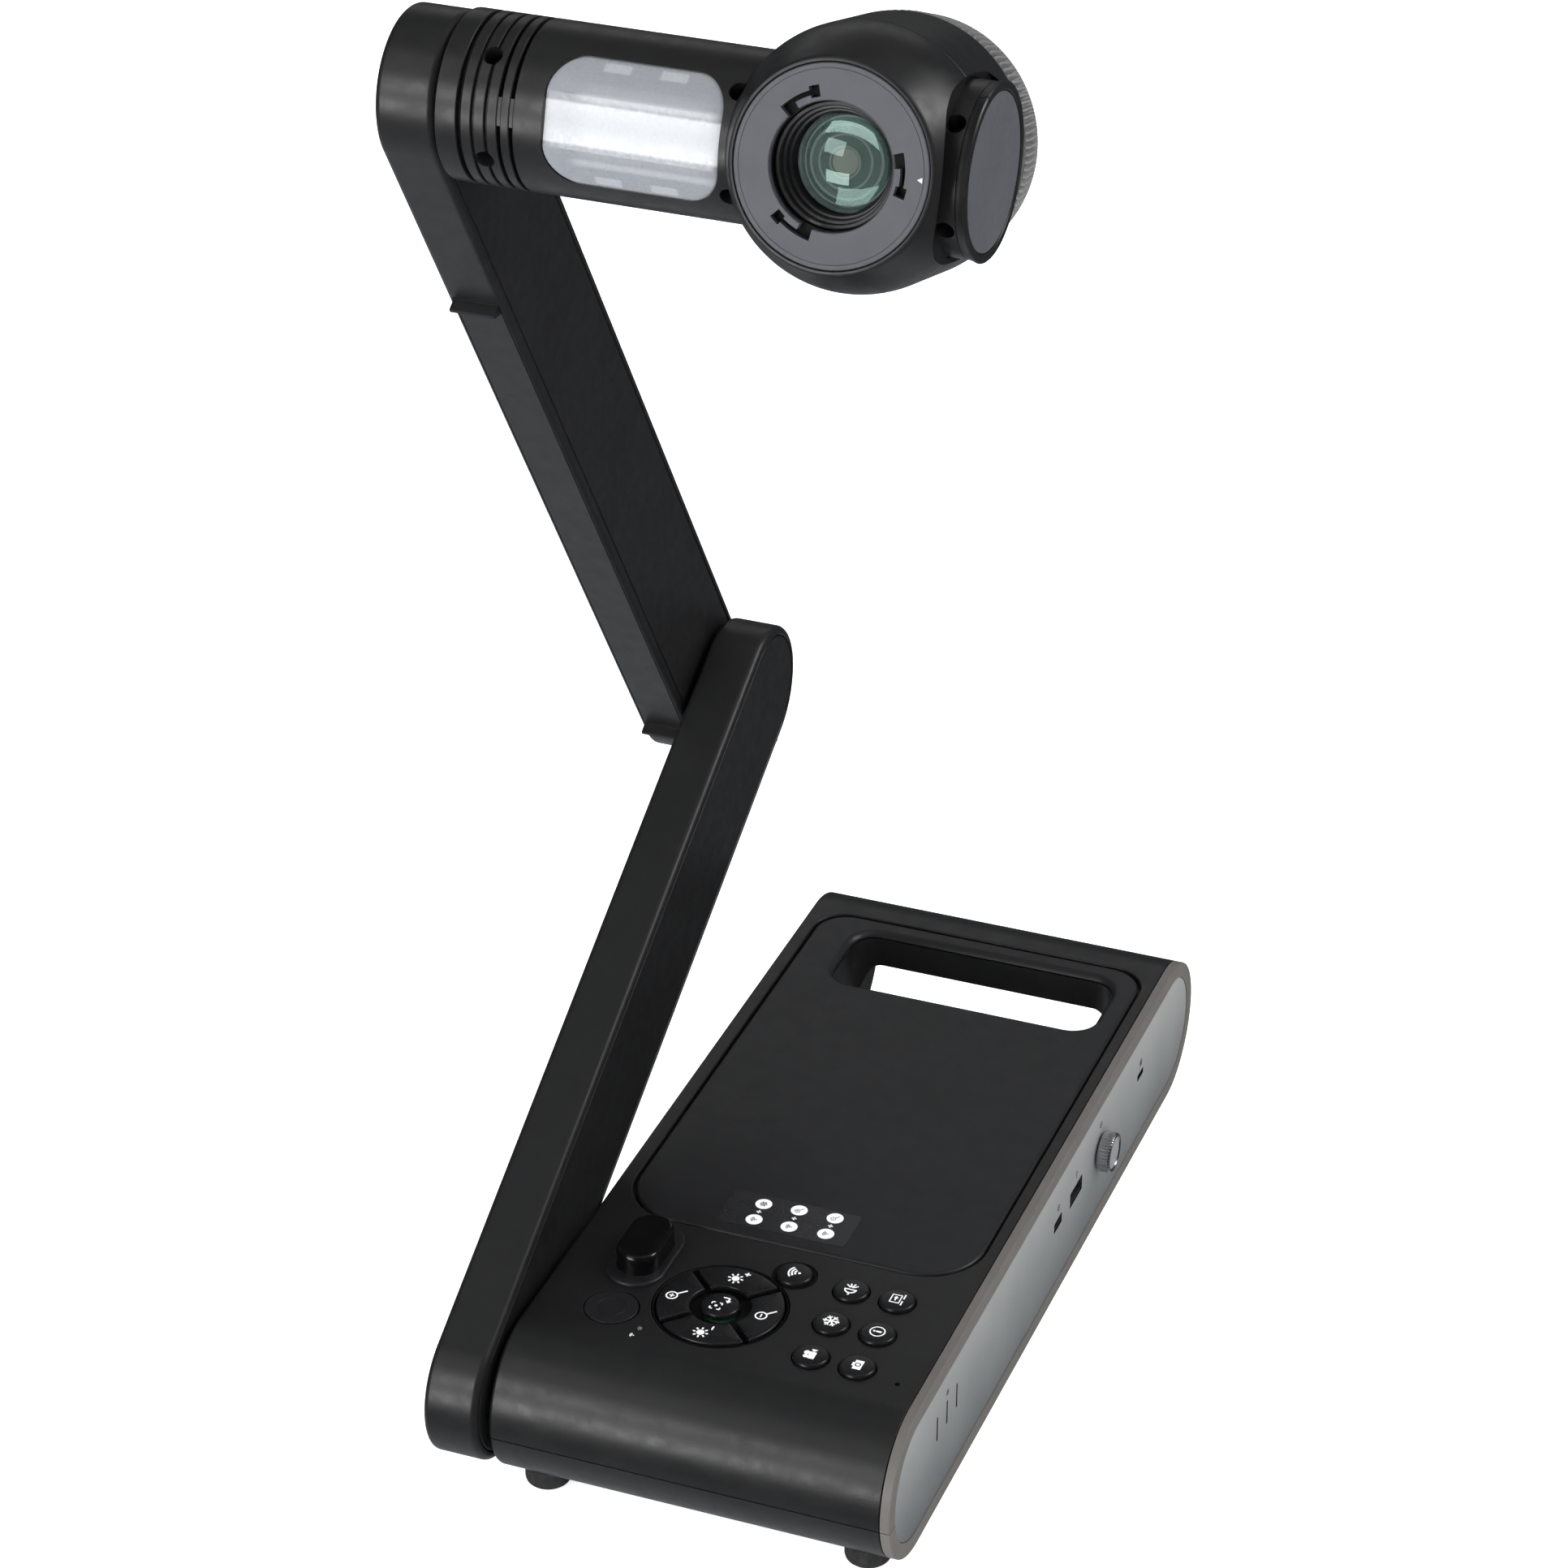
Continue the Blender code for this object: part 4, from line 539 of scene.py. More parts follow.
def prism(name, points, low, high, place, mat=None, bevel=0.0):
    """A polygon pushed from one height to another, with its edges bevelled."""
    bm = bmesh.new()
    face = bm.faces.new([bm.verts.new((x, y, low)) for x, y in points])
    pushed = bmesh.ops.extrude_face_region(bm, geom=[face])
    bmesh.ops.translate(bm, vec=(0, 0, high - low),
                        verts=[g for g in pushed["geom"] if isinstance(g, bmesh.types.BMVert)])
    bmesh.ops.recalc_face_normals(bm, faces=bm.faces)
    if bevel:
        sharp = [e for e in bm.edges if e.calc_face_angle(0) > math.radians(30)]
        bmesh.ops.bevel(bm, geom=sharp, offset=bevel, segments=2, profile=0.6, affect="EDGES")
    return finish_mesh(name, bm, place, mat)


def brick(name, low, high, place=Matrix.Identity(4)):
    points = [(low[0], low[1]), (high[0], low[1]), (high[0], high[1]), (low[0], high[1])]
    return prism(name, points, low[2], high[2], place)


def carve(obj, *tools, operation="DIFFERENCE"):
    """Boolean with every tool, then keep only the result."""
    for tool in tools:
        modifier = obj.modifiers.new("carve", "BOOLEAN")
        modifier.operation = operation
        modifier.solver = "EXACT"
        modifier.object = tool
    graph = bpy.context.evaluated_depsgraph_get()
    mesh = bpy.data.meshes.new_from_object(obj.evaluated_get(graph))
    obj.modifiers.clear()
    obj.data = mesh
    for tool in tools:
        bpy.data.objects.remove(tool, do_unlink=True)
    return shade(obj)


def piece(obj, body, slot, *nodes, weighted=True):
    """Make an object part of the model: what it rides on and stands for; slot, what it is made of, is
    not used.
    """
    if weighted:
        modifier = obj.modifiers.new("flat_faces", "WEIGHTED_NORMAL")
        modifier.keep_sharp = True
    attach(obj, body)
    if nodes:
        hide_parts(*nodes)
    return obj


def on_deck(centre):
    return Matrix.Translation((centre[0], centre[1], DECK_Z))


# ---------------------------------------------------------------------- base
def key_centres():
    names = ("lamp_key", "source_key", "freeze_key", "info_key", "record_key", "capture_key")
    places = [(x, y) for y in KEY_GRID_Y for x in KEY_GRID_X]
    return {"wifi_key": WIFI_KEY, **dict(zip(names, places))}


def hole_cutter(name, centre, radius, edge=0.00035, steps=64):
    """A round hole through the deck with its edge just broken."""
    r = radius + 0.00035
    profile = [(0, -0.008), (r, -0.008), (r, -edge), (r + edge * 0.3, -edge * 0.3), (r + edge, 0.0),
               (r + edge, 0.004), (0, 0.004)]
    return lathe(name, profile, on_deck(centre), steps=steps)


def scoop_cutter(name):
    points = [(SLOT_Y[0] - 0.002, -0.01), (SLOT_Y[0] - 0.002, 0.0362), (SLOT_Y[1] - 0.0060, 0.0362),
              (SLOT_Y[1] + 0.0008, 0.0530), (BASE_BACK + 0.0020, 0.0260), (BASE_BACK + 0.0100, -0.01)]
    rounded = corner(points, 0.004)
    stations = [(0, SCOOP_X[0]), (0, SCOOP_X[1])]
    return loft(name, lambda inset: rounded, stations, SIDEWAYS)


def cavity_cutter(name):
    cavity = loft(name, lambda inset: base_outline(BASE_WALL, 24),
                  [(0, BASE_LEFT + BASE_WALL), (0, SHELL_RIGHT + 0.01)], SIDEWAYS)
    core = brick(name + "_core", (SCOOP_X[0] - BASE_WALL, SLOT_Y[0] - BASE_WALL - 0.002, -0.01),
                 (SCOOP_X[1] + BASE_WALL, BASE_BACK + 0.02, DECK_Z + 0.02))
    return carve(cavity, core)


def shaft_cutter(name):
    place = Matrix.Translation((BASE_LEFT - 0.01, PIVOT.y, PIVOT.z)) @ ALONG_X
    return lathe(name, rod(SHAFT_HOLE, 0, 0.03), place, steps=48)


def side_stations():
    return edges(BASE_LEFT, SHELL_RIGHT, 0.0016, 0.00025)


def upper_shell():
    shell = loft("upper_shell", base_outline, side_stations(), SIDEWAYS, MATERIALS["black_plastic"])
    low = brick("below", (-0.3, -0.3, -0.1), (0.3, 0.3, PARTING_Z + 0.00045))
    recess = loft("recess", box_outline((PANEL_X[0] - 0.0008, PANEL_X[1] + 0.0008),
                                        (PANEL_Y[0] - 0.0008, PANEL_Y[1] + 0.0008), PANEL_ROUNDS, 20),
                  flare(0.0026, DECK_Z, 0.0006))
    slot = loft("slot", box_outline(SLOT_X, SLOT_Y, SLOT_ROUNDS),
                [(0, DECK_Z - 0.05), (0, DECK_Z + 0.01)])
    tools = [low, cavity_cutter("cavity_up"), scoop_cutter("scoop_up"), recess, slot,
             shaft_cutter("shaft_up"),
             brick("io_up", (BASE_LEFT - 0.01, IO_Y[0] - GAP, IO_Z[0] - GAP),
                   (BASE_LEFT + BASE_WALL + 0.001, IO_Y[1] + GAP, IO_Z[1] + GAP))]
    for name, centre in key_centres().items():
        tools.append(hole_cutter("hole_" + name, centre, KEY_RADIUS))
    dark_ring = [(0, -0.0006), (0.0083, -0.0006), (0.0085, 0.0), (0.0085, 0.003), (0, 0.003)]
    tools.append(lathe("wifi_ring", dark_ring, on_deck(WIFI_KEY), steps=64))
    tools.append(hole_cutter("hole_power", POWER_KEY, POWER_RADIUS, 0.0006))
    tools.append(hole_cutter("hole_nav", NAV_CENTRE, NAV_RADIUS, 0.0003, 96))
    tools.append(hole_cutter("hole_led", LED_AT, 0.0010, 0.0002, 32))
    tools.append(hole_cutter("hole_mic", MIC_AT, 0.0006, 0.0002, 32))
    tools.append(brick("hole_ir", (IR_CENTRE[0] - 0.006, IR_CENTRE[1] - 0.011, DECK_Z - 0.006),
                       (IR_CENTRE[0] + 0.006, IR_CENTRE[1] + 0.011, DECK_Z + 0.006)))
    return piece(carve(shell, *tools), "base", "black_plastic", "base_upper_shell")


def foot_places():
    return [(x, y)
            for x in (BASE_LEFT + 0.0125, BASE_RIGHT - 0.0125 - BEZEL_THICK)
            for y in (BASE_FRONT + 0.0238, SLOT_Y[0] - 0.0150)]


def lower_shell():
    shell = loft("lower_shell", base_outline, side_stations(), SIDEWAYS, MATERIALS["black_plastic"])
    tools = [brick("above", (-0.3, -0.3, PARTING_Z), (0.3, 0.3, 0.2)), cavity_cutter("cavity_low"),
             scoop_cutter("scoop_low"), shaft_cutter("shaft_low")]
    for i, (x, y) in enumerate(foot_places()):
        tools.append(lathe(f"pocket_{i}", rod(FOOT_RADIUS + GAP, -0.002, FOOT_HEIGHT + 0.0025),
                           Matrix.Translation((x, y, 0)), steps=48))
    return piece(carve(shell, *tools), "base", "black_plastic", "base_lower_shell")


def feet():
    outline = [(0, 0.0), (FOOT_RADIUS - 0.0014, 0.0), (FOOT_RADIUS - 0.0003, 0.0010),
               (FOOT_RADIUS, 0.0022), (FOOT_RADIUS, FOOT_HEIGHT + 0.0022), (0, FOOT_HEIGHT + 0.0022)]
    profile = corner(outline, 0.0010, closed=False)
    for i, (x, y) in enumerate(foot_places()):
        foot = lathe(f"rubber_foot_{i + 1}", profile, Matrix.Translation((x, y, 0)),
                     MATERIALS["foot_rubber"], 64)
        piece(foot, "base", "foot_rubber", f"foot_{i + 1}")


def deck():
    panel = loft("deck_cover", box_outline(PANEL_X, PANEL_Y, PANEL_ROUNDS, 20),
                 edges(DECK_Z - 0.0020, DECK_Z, 0.0002, 0.0015), mat=MATERIALS["deck_plastic"])
    slot = loft("slot_lip", box_outline(SLOT_X, SLOT_Y, SLOT_ROUNDS), flare(0.02, DECK_Z, 0.0034))
    piece(carve(panel, slot), "base", "deck_plastic", "deck_panel")


def knob_hole(name):
    place = Matrix.Translation((BASE_RIGHT - 0.02, *KNOB_AT)) @ ALONG_X
    return lathe(name, rod(KNOB_HOLE, 0, 0.04), place, steps=32)


def side_tools(tag):
    tools = []
    for i, (y, z, width, height) in enumerate(PORTS):
        tools.append(loft(f"port_{tag}_{i}", centred_box((y, z), (width, height), 0.0005, 3),
                          flare(0.02, BASE_RIGHT - 0.0004, 0.00015), SIDEWAYS))
    for i, y in enumerate(VENT_Y):
        tools.append(loft(f"vent_{tag}_{i}", centred_box((y, VENT_Z), VENT_SIZE, 0.0006, 4),
                          flare(0.02, BASE_RIGHT - 0.0004, 0.00012), SIDEWAYS))
    return tools + [knob_hole(f"knob_{tag}")]


def side():
    ring = loft("bezel_ring", base_outline, edges(SHELL_RIGHT + GAP, BASE_RIGHT, 0.00025, 0.0006),
                SIDEWAYS, MATERIALS["bezel_taupe"])
    recess = loft("bezel_recess", lambda inset: base_outline(RIM_WIDTH + inset),
                  flare(0.0021, BASE_RIGHT, 0.0004), SIDEWAYS)
    tools = [recess] + side_tools("ring")
    for i, (y0, y1) in enumerate(((BASE_FRONT - 0.002, BASE_FRONT + RIM_WIDTH),
                                  (BASE_BACK - RIM_WIDTH, BASE_BACK + 0.002))):
        tools.append(brick(f"seam_face_{i}", (BASE_RIGHT - 0.0006, y0, PARTING_Z),
                           (BASE_RIGHT + 0.001, y1, PARTING_Z + 0.0004)))
    tools.append(brick("seam_front", (SHELL_RIGHT, BASE_FRONT - 0.002, PARTING_Z),
                       (BASE_RIGHT + 0.001, BASE_FRONT + 0.0006, PARTING_Z + 0.0004)))
    tools.append(brick("seam_back", (SHELL_RIGHT, BASE_BACK - 0.0006, PARTING_Z),
                       (BASE_RIGHT + 0.001, BASE_BACK + 0.002, PARTING_Z + 0.0004)))
    piece(carve(ring, *tools), "base", "bezel_taupe", "side_bezel")
    panel = loft("side_cover", lambda inset: base_outline(RIM_WIDTH + 0.0001 + inset),
                 edges(BASE_RIGHT - 0.0017, BASE_RIGHT - 0.0004, 0.0002, 0.0004), SIDEWAYS,
                 MATERIALS["panel_silver"])
    piece(carve(panel, *side_tools("cover")), "base", "panel_silver", "side_panel")
    # Painted shade: the openings are lined and floored, and the ports backed, with the painted-shade
    # black.
    vents = [((y, VENT_Z), VENT_SIZE, 0.0006) for y in VENT_Y]
    slots = [((y, z), (width, height), 0.0005) for y, z, width, height in PORTS]
    for i, (middle, size, rounding) in enumerate(vents + slots):
        outline = centred_box(middle, size, rounding, 4)
        lining = loft(f"opening_lining_{i}", outline,
                      [(-0.00005, SHELL_RIGHT + 0.0004), (-0.00005, BASE_RIGHT - 0.00052)],
                      SIDEWAYS, PAINTED_SHADE_BLACK)
        inside = loft(f"lining_bore_{i}", outline,
                      [(0.00012, SHELL_RIGHT - 0.001), (0.00012, BASE_RIGHT + 0.001)], SIDEWAYS)
        piece(carve(lining, inside), "base", "deck_plastic")
    for i, (middle, size, rounding) in enumerate(vents + slots[2:]):
        floor = loft(f"opening_floor_{i}", centred_box(middle, size, rounding, 4),
                     [(0.0001, BASE_RIGHT - 0.0030), (0.0001, BASE_RIGHT - 0.0028)],
                     SIDEWAYS, PAINTED_SHADE_BLACK)
        piece(floor, "base", "deck_plastic")
    backing = loft("port_shadow", lambda inset: base_outline(0.012 + inset, 16),
                   [(0, SHELL_RIGHT - 0.0030), (0, SHELL_RIGHT - 0.0026)], SIDEWAYS, PAINTED_SHADE_BLACK)
    cuts = []
    for i, (y, z, width, height) in enumerate(PORTS[:2]):
        cuts.append(brick(f"shadow_{i}", (SHELL_RIGHT - 0.01, y - width / 2, z - height / 2),
                          (SHELL_RIGHT + 0.01, y + width / 2, z + height / 2)))
    piece(carve(backing, *cuts, knob_hole("shadow_knob")), "base", "deck_plastic")


def knob():
    place = Matrix.Translation((BASE_RIGHT, *KNOB_AT)) @ ALONG_X
    profile = corner([(0, KNOB_PROUD - 0.0006), (KNOB_RADIUS - 0.0016, KNOB_PROUD - 0.0006),
                      (KNOB_RADIUS - 0.0014, KNOB_PROUD), (KNOB_RADIUS - 0.0004, KNOB_PROUD),
                      (KNOB_RADIUS, KNOB_PROUD - 0.0008), (KNOB_RADIUS, 0.0014),
                      (KNOB_RADIUS - 0.0005, 0.0004), (0.0030, 0.0003), (0.0030, -0.0080),
                      (0, -0.0080)], 0.0002, closed=False, steps=2)

    def grip(radius, height, angle):
        if radius < KNOB_RADIUS - 0.0003 or height < 0.0010 or height > KNOB_PROUD - 0.0006:
            return radius
        return radius - 0.00035 * (0.5 + 0.5 * math.cos(angle * 36)) ** 2
    body = lathe("knob_body", profile, place, MATERIALS["chrome"], 288, radius_at=grip)
    piece(body, "side_knob", "chrome", "side_knob")
    face = [(0, KNOB_PROUD - 0.0002), (KNOB_RADIUS - 0.0019, KNOB_PROUD - 0.00035),
            (KNOB_RADIUS - 0.0017, KNOB_PROUD - 0.0005), (KNOB_RADIUS - 0.0017, KNOB_PROUD - 0.0008),
            (0, KNOB_PROUD - 0.0008)]
    piece(lathe("knob_face_disc", face, place, KNOB_FACE, 64), "side_knob", "chrome")


# ---------------------------------------------------------------------- keys
def key_top(radius, proud, dome):
    """Height of a domed key's face above the deck, by distance from its middle."""
    return lambda r: proud + dome * (1 - (r / radius) ** 2)


ROUND_TOP = key_top(KEY_RADIUS, KEY_PROUD, 0.0003)
FOCUS_TOP = key_top(FOCUS_RADIUS, 0.0009, 0.00025)


def domed(name, centre, radius, top, edge, under, flange, mat):
    reach = radius - edge
    face = [(reach * k / 8, top(reach * k / 8)) for k in range(9)]
    rim = [(reach + edge * math.sin(a), top(reach) - edge * (1 - math.cos(a)))
           for a in (math.radians(90 * k / 5) for k in range(1, 6))]
    foot = [(radius, under), (radius + flange, under), (radius + flange, under - 0.0008),
            (0, under - 0.0008)]
    return lathe(name, face + rim + foot, on_deck(centre), mat, 72)


def round_keys():
    mat = MATERIALS["key_rubber"]
    for name, centre in key_centres().items():
        cap = domed(name + "_cap", centre, KEY_RADIUS, ROUND_TOP, 0.0010, -0.0038, 0.0008, mat)
        piece(cap, name, "key_rubber", name)
    top = key_top(POWER_RADIUS, 0.0001, 0.0)
    power = domed("power_key_cap", POWER_KEY, POWER_RADIUS, top, 0.0003, -0.0038, 0.0008,
                  MATERIALS["deck_plastic"])
    groove = lathe("power_groove", [(0.0050, 0.002), (0.0056, 0.002), (0.0055, 0.0000),
                                    (0.0053, -0.0001), (0.0051, 0.0000), (0.0050, 0.002)],
                   on_deck(POWER_KEY), steps=64)
    piece(carve(power, groove), "power_key", "key_rubber", "power_key")
    focus = domed("focus_key_cap", NAV_CENTRE, FOCUS_RADIUS, FOCUS_TOP, 0.0009, -0.0013, -0.0040, mat)
    piece(focus, "focus_key", "key_rubber", "focus_key")


def nav_height(radius):
    """The ring of keys is very slightly crowned."""
    middle = (NAV_KEY_OUTER + NAV_KEY_INNER) / 2
    return 0.0008 - 0.0003 * ((radius - middle) / (NAV_KEY_OUTER - middle)) ** 2


def nav_keys():
    for name, turn in NAV_TURNS.items():
        bm = bmesh.new()
        rings = []
        for inset, height, crown in [(0, -0.0012, 0), (0, 0.0000, 0), (0.00008, 0.0003, 0),
                                     (0.00030, 0.00052, 0), (0.00065, 0.00064, 0), (0.0022, 0, 1),
                                     (0.0040, 0, 1)]:
            outer, inner = NAV_KEY_OUTER - inset, NAV_KEY_INNER + inset
            half = NAV_KEY_SPLIT + inset
            outer_cut = math.degrees(math.asin(half / outer))
            inner_cut = math.degrees(math.asin(half / inner))
            points = (arc((0, 0), outer, -45 + outer_cut, 45 - outer_cut, 24)
                      + arc((0, 0), inner, 45 - inner_cut, -45 + inner_cut, 24))
            rings.append([bm.verts.new((x, y, nav_height(math.hypot(x, y)) if crown else height))
                          for x, y in corner(points, 0.0009, steps=3)])
        skin(bm, rings)
        top = rings[-1]
        half_count = len(top) // 2
        for i in range(half_count - 1):
            bm.faces.new((top[i], top[i + 1], top[-2 - i], top[-1 - i]))
        bm.faces.new(rings[0][::-1])
        place = on_deck(NAV_CENTRE) @ Matrix.Rotation(math.radians(turn), 4, "Z")
        key = finish_mesh(name + "_cap", bm, place, MATERIALS["key_rubber"], 40)
        piece(key, name, "key_rubber", name)


def nav_dish():
    inner, floor = NAV_RADIUS - 0.0007, -0.0022
    hole = FOCUS_RADIUS + 0.00015
    outline = [(hole, floor), (inner - 0.0004, floor), (inner, -0.0004), (NAV_RADIUS - 0.0002, 0.00005),
               (NAV_RADIUS, -0.0002), (NAV_RADIUS, -0.0038), (hole, -0.0038)]
    outline = corner(outline, 0.0003, steps=3)
    # Painted shade: the dish and the ring seat under the wifi key below are in the painted-shade black,
    # for the shade in the gaps round the keys.
    dish = lathe("nav_dish", outline + outline[:1], on_deck(NAV_CENTRE), PAINTED_SHADE_BLACK, 120)
    piece(dish, "base", "deck_plastic", "nav_bezel")
    ring = corner([(0.0069, -0.00045), (0.0082, -0.00045), (0.0082, -0.00075), (0.0069, -0.00075)],
                  0.0001)
    piece(lathe("wifi_ring_seat", ring + ring[:1], on_deck(WIFI_KEY), PAINTED_SHADE_BLACK, 64), "base",
          "deck_plastic")


# ---------------------------------------------------------------- deck trim
def deck_trim():
    flange = loft("window_flange", centred_box(IR_CENTRE, IR_FLANGE, IR_FLANGE[0] / 2 - 0.0002, 20),
                  edges(DECK_Z + 0.0001, DECK_Z + 0.0013, 0.0001, 0.0009),
                  mat=MATERIALS["deck_plastic"])
    piece(flange, "base", "deck_plastic", "ir_flange")
    outline = centred_box(IR_CENTRE, IR_SIZE, 0.0080, 20)
    stations = [(0.0, DECK_Z + 0.0011), (0.0002, DECK_Z + 0.0040)]
    stations += [(0.0002 + 0.0016 * (1 - math.cos(a)), DECK_Z + IR_TOP - 0.0016 * (1 - math.sin(a)))
                 for a in (math.radians(90 * k / 6) for k in range(7))]
    stations += [(0.0040, DECK_Z + IR_TOP + 0.00012)]
    window = loft("window_block", outline, stations, mat=MATERIALS["ir_acrylic"])
    piece(window, "base", "ir_acrylic", "ir_window")
    lens = lathe("status_lens", [(0, 0.0003), (0.0005, 0.00026), (0.0009, 0.0001), (0.0010, -0.0001),
                                 (0.0010, -0.0035), (0, -0.0035)], on_deck(LED_AT), LED_GREY, 32)
    piece(lens, "base", "diffuser", "status_led")
    film = loft("label_film", centred_box(LABEL_CENTRE, LABEL_SIZE, 0.0022, 8),
                [(0, DECK_Z + 0.00001), (0, DECK_Z + 0.00010), (0.00006, DECK_Z + 0.00014)],
                mat=MATERIALS["label_film"])
    piece(film, "base", "label_film", "quick_label")


# ---------------------------------------------------------------------- arms
def arm_place(at, angle, left):
    return Matrix.Translation((left, at.y, at.z)) @ Matrix.Rotation(angle, 4, "X") @ SIDEWAYS


def arm(body, at, angle, right, length, side, lips):
    """One arm: a tray with a rounded rim, its side cover and its cable strip with lips."""
    place = arm_place(at, angle, right - ARM_THICK)
    mat = MATERIALS["black_plastic"]

    def bar(inset):
        return stadium(length, ARM_HALF - inset, steps=48)
    rim, inset = 0.0026, ARM_COVER_INSET
    stations = edges(0.0, ARM_THICK, 0.0024, rim, 8)
    stations += [(inset - 0.0003, ARM_THICK), (inset, ARM_THICK - 0.0003),
                 (inset, ARM_THICK - 0.0024)]
    tray = loft(f"{body}_tray", bar, stations, place, mat)
    bed = strip_outline(side, lips, 0.00035, False)
    carve(tray, prism(f"{body}_bed", bed, STRIP_INSET - GAP, ARM_THICK - STRIP_INSET + GAP, place))
    piece(tray, body, "black_plastic", f"{body}_shell")
    cover = loft(f"{body}_cover_plate", lambda i: bar(inset + 0.00045 + i),
                 edges(ARM_THICK - 0.0021, ARM_THICK - 0.0001, 0.0001, 0.0005), place, mat)
    hole = lathe(f"{body}_hole", rod(SHAFT_HOLE, 0, 0.02),
                 place @ Matrix.Translation((0, 0, ARM_THICK - 0.01)), steps=48)
    carve(cover, hole)
    piece(cover, body, "black_plastic", f"{body}_side_cover")
    strip = prism(f"{body}_cable_strip", strip_outline(side, lips, 0.0, True), STRIP_INSET,
                  ARM_THICK - STRIP_INSET, place, mat, 0.00025)
    piece(strip, body, "black_plastic", f"{body}_cable_cover")


def strip_outline(side, lips, grow, with_lips):
    """The strip seen from the arm's side: flush with the arm, a lip rising at each stop."""
    low, high = STRIP_START - grow, lips[-1] + 0.0005 + grow
    floor = ARM_HALF - STRIP_DEPTH - grow
    top = ARM_HALF - 0.00005 if with_lips else ARM_HALF + 0.004
    points = [(low, floor), (high, floor), (high, top)]
    if with_lips:
        for at in reversed(lips):
            points += [(at, top), (at, ARM_HALF + STRIP_LIP * 0.94),
                       (at - 0.0013, ARM_HALF + STRIP_LIP),
                       (at - 0.0022, ARM_HALF + STRIP_LIP * 0.72), (at - 0.0046, top)]
    points.append((low, top))
    kept = []
    for x, y in points:
        if not kept or math.hypot(x - kept[-1][0], y - kept[-1][1]) > 1e-5:
            kept.append((x, y))
    return [(x, side * y) for x, y in (kept if side > 0 else kept[::-1])]


def arms():
    arm("lower_arm", PIVOT, LOWER_ANGLE, LOWER_ARM_RIGHT, LOWER_LENGTH, -1, LOWER_LIPS)
    arm("upper_arm", ELBOW, UPPER_ANGLE, UPPER_ARM_RIGHT, UPPER_LENGTH, 1, UPPER_LIPS)
    width = TUBE_LEFT - GAP - COLLAR_LEFT
    outline = [(SHAFT_HOLE, width), (TUBE_RADIUS - 0.0022, width),
               (TUBE_RADIUS - 0.0022, width - 0.0008),
               (TUBE_RADIUS, width - 0.0008), (TUBE_RADIUS, 0.0), (SHAFT_HOLE, 0.0)]
    profile = corner(outline, 0.0004, steps=3)
    place = Matrix.Translation((COLLAR_LEFT, NECK.y, NECK.z)) @ ALONG_X
    collar = lathe("neck_collar_ring", profile + profile[:1], place, MATERIALS["black_plastic"], 128)
    piece(collar, "upper_arm", "black_plastic", "neck_collar")


# ---------------------------------------------------------------------- head
def tube_place(left):
    return Matrix.Translation((left, NECK.y, NECK.z)) @ ALONG_X


def lens_angle_matrix(degrees):
    """Frame on the tube's axis whose Z looks forward, turned up from the lens direction."""
    look = Matrix.Rotation(math.radians(90) - LENS_TILT - math.radians(degrees), 4, "X")
    return Matrix.Translation((0, NECK.y, NECK.z)) @ look


def lamp_outline(grow):
    half = (LAMP_X[1] - LAMP_X[0]) / 2
    return box_outline((-half - grow, half + grow), (-LAMP_HALF_HEIGHT - grow, LAMP_HALF_HEIGHT + grow),
                       (LAMP_ROUND + grow,) * 4, 14)


def lamp_place():
    return Matrix.Translation((sum(LAMP_X) / 2, NECK.y, NECK.z)) @ LENS_FRAME


def screw_cutters(tag, xs):
    tools = []
    for i, x in enumerate(xs):
        by_cap = x == HEAD_SCREW_X[-1]
        x += 0.0008 if by_cap else 0.0
        top = TUBE_RADIUS + (0.0003 if by_cap and tag == "drum" else 0.0222)
        for sign in (-1, 1):
            turn = lens_angle_matrix(sign * math.degrees(HEAD_SCREW_ANGLE))
            place = Matrix.Translation((x, 0, 0)) @ turn
            r = HEAD_SCREW_RADIUS
            profile = [(0, TUBE_RADIUS - 0.0075), (r, TUBE_RADIUS - 0.0075), (r, TUBE_RADIUS - 0.0007),
                       (r + 0.0003, TUBE_RADIUS - 0.0002), (r + 0.0004, top), (0, top)]
            tools.append(lathe(f"screw_{tag}_{i}_{sign + 1}", profile, place, steps=40))
    return tools


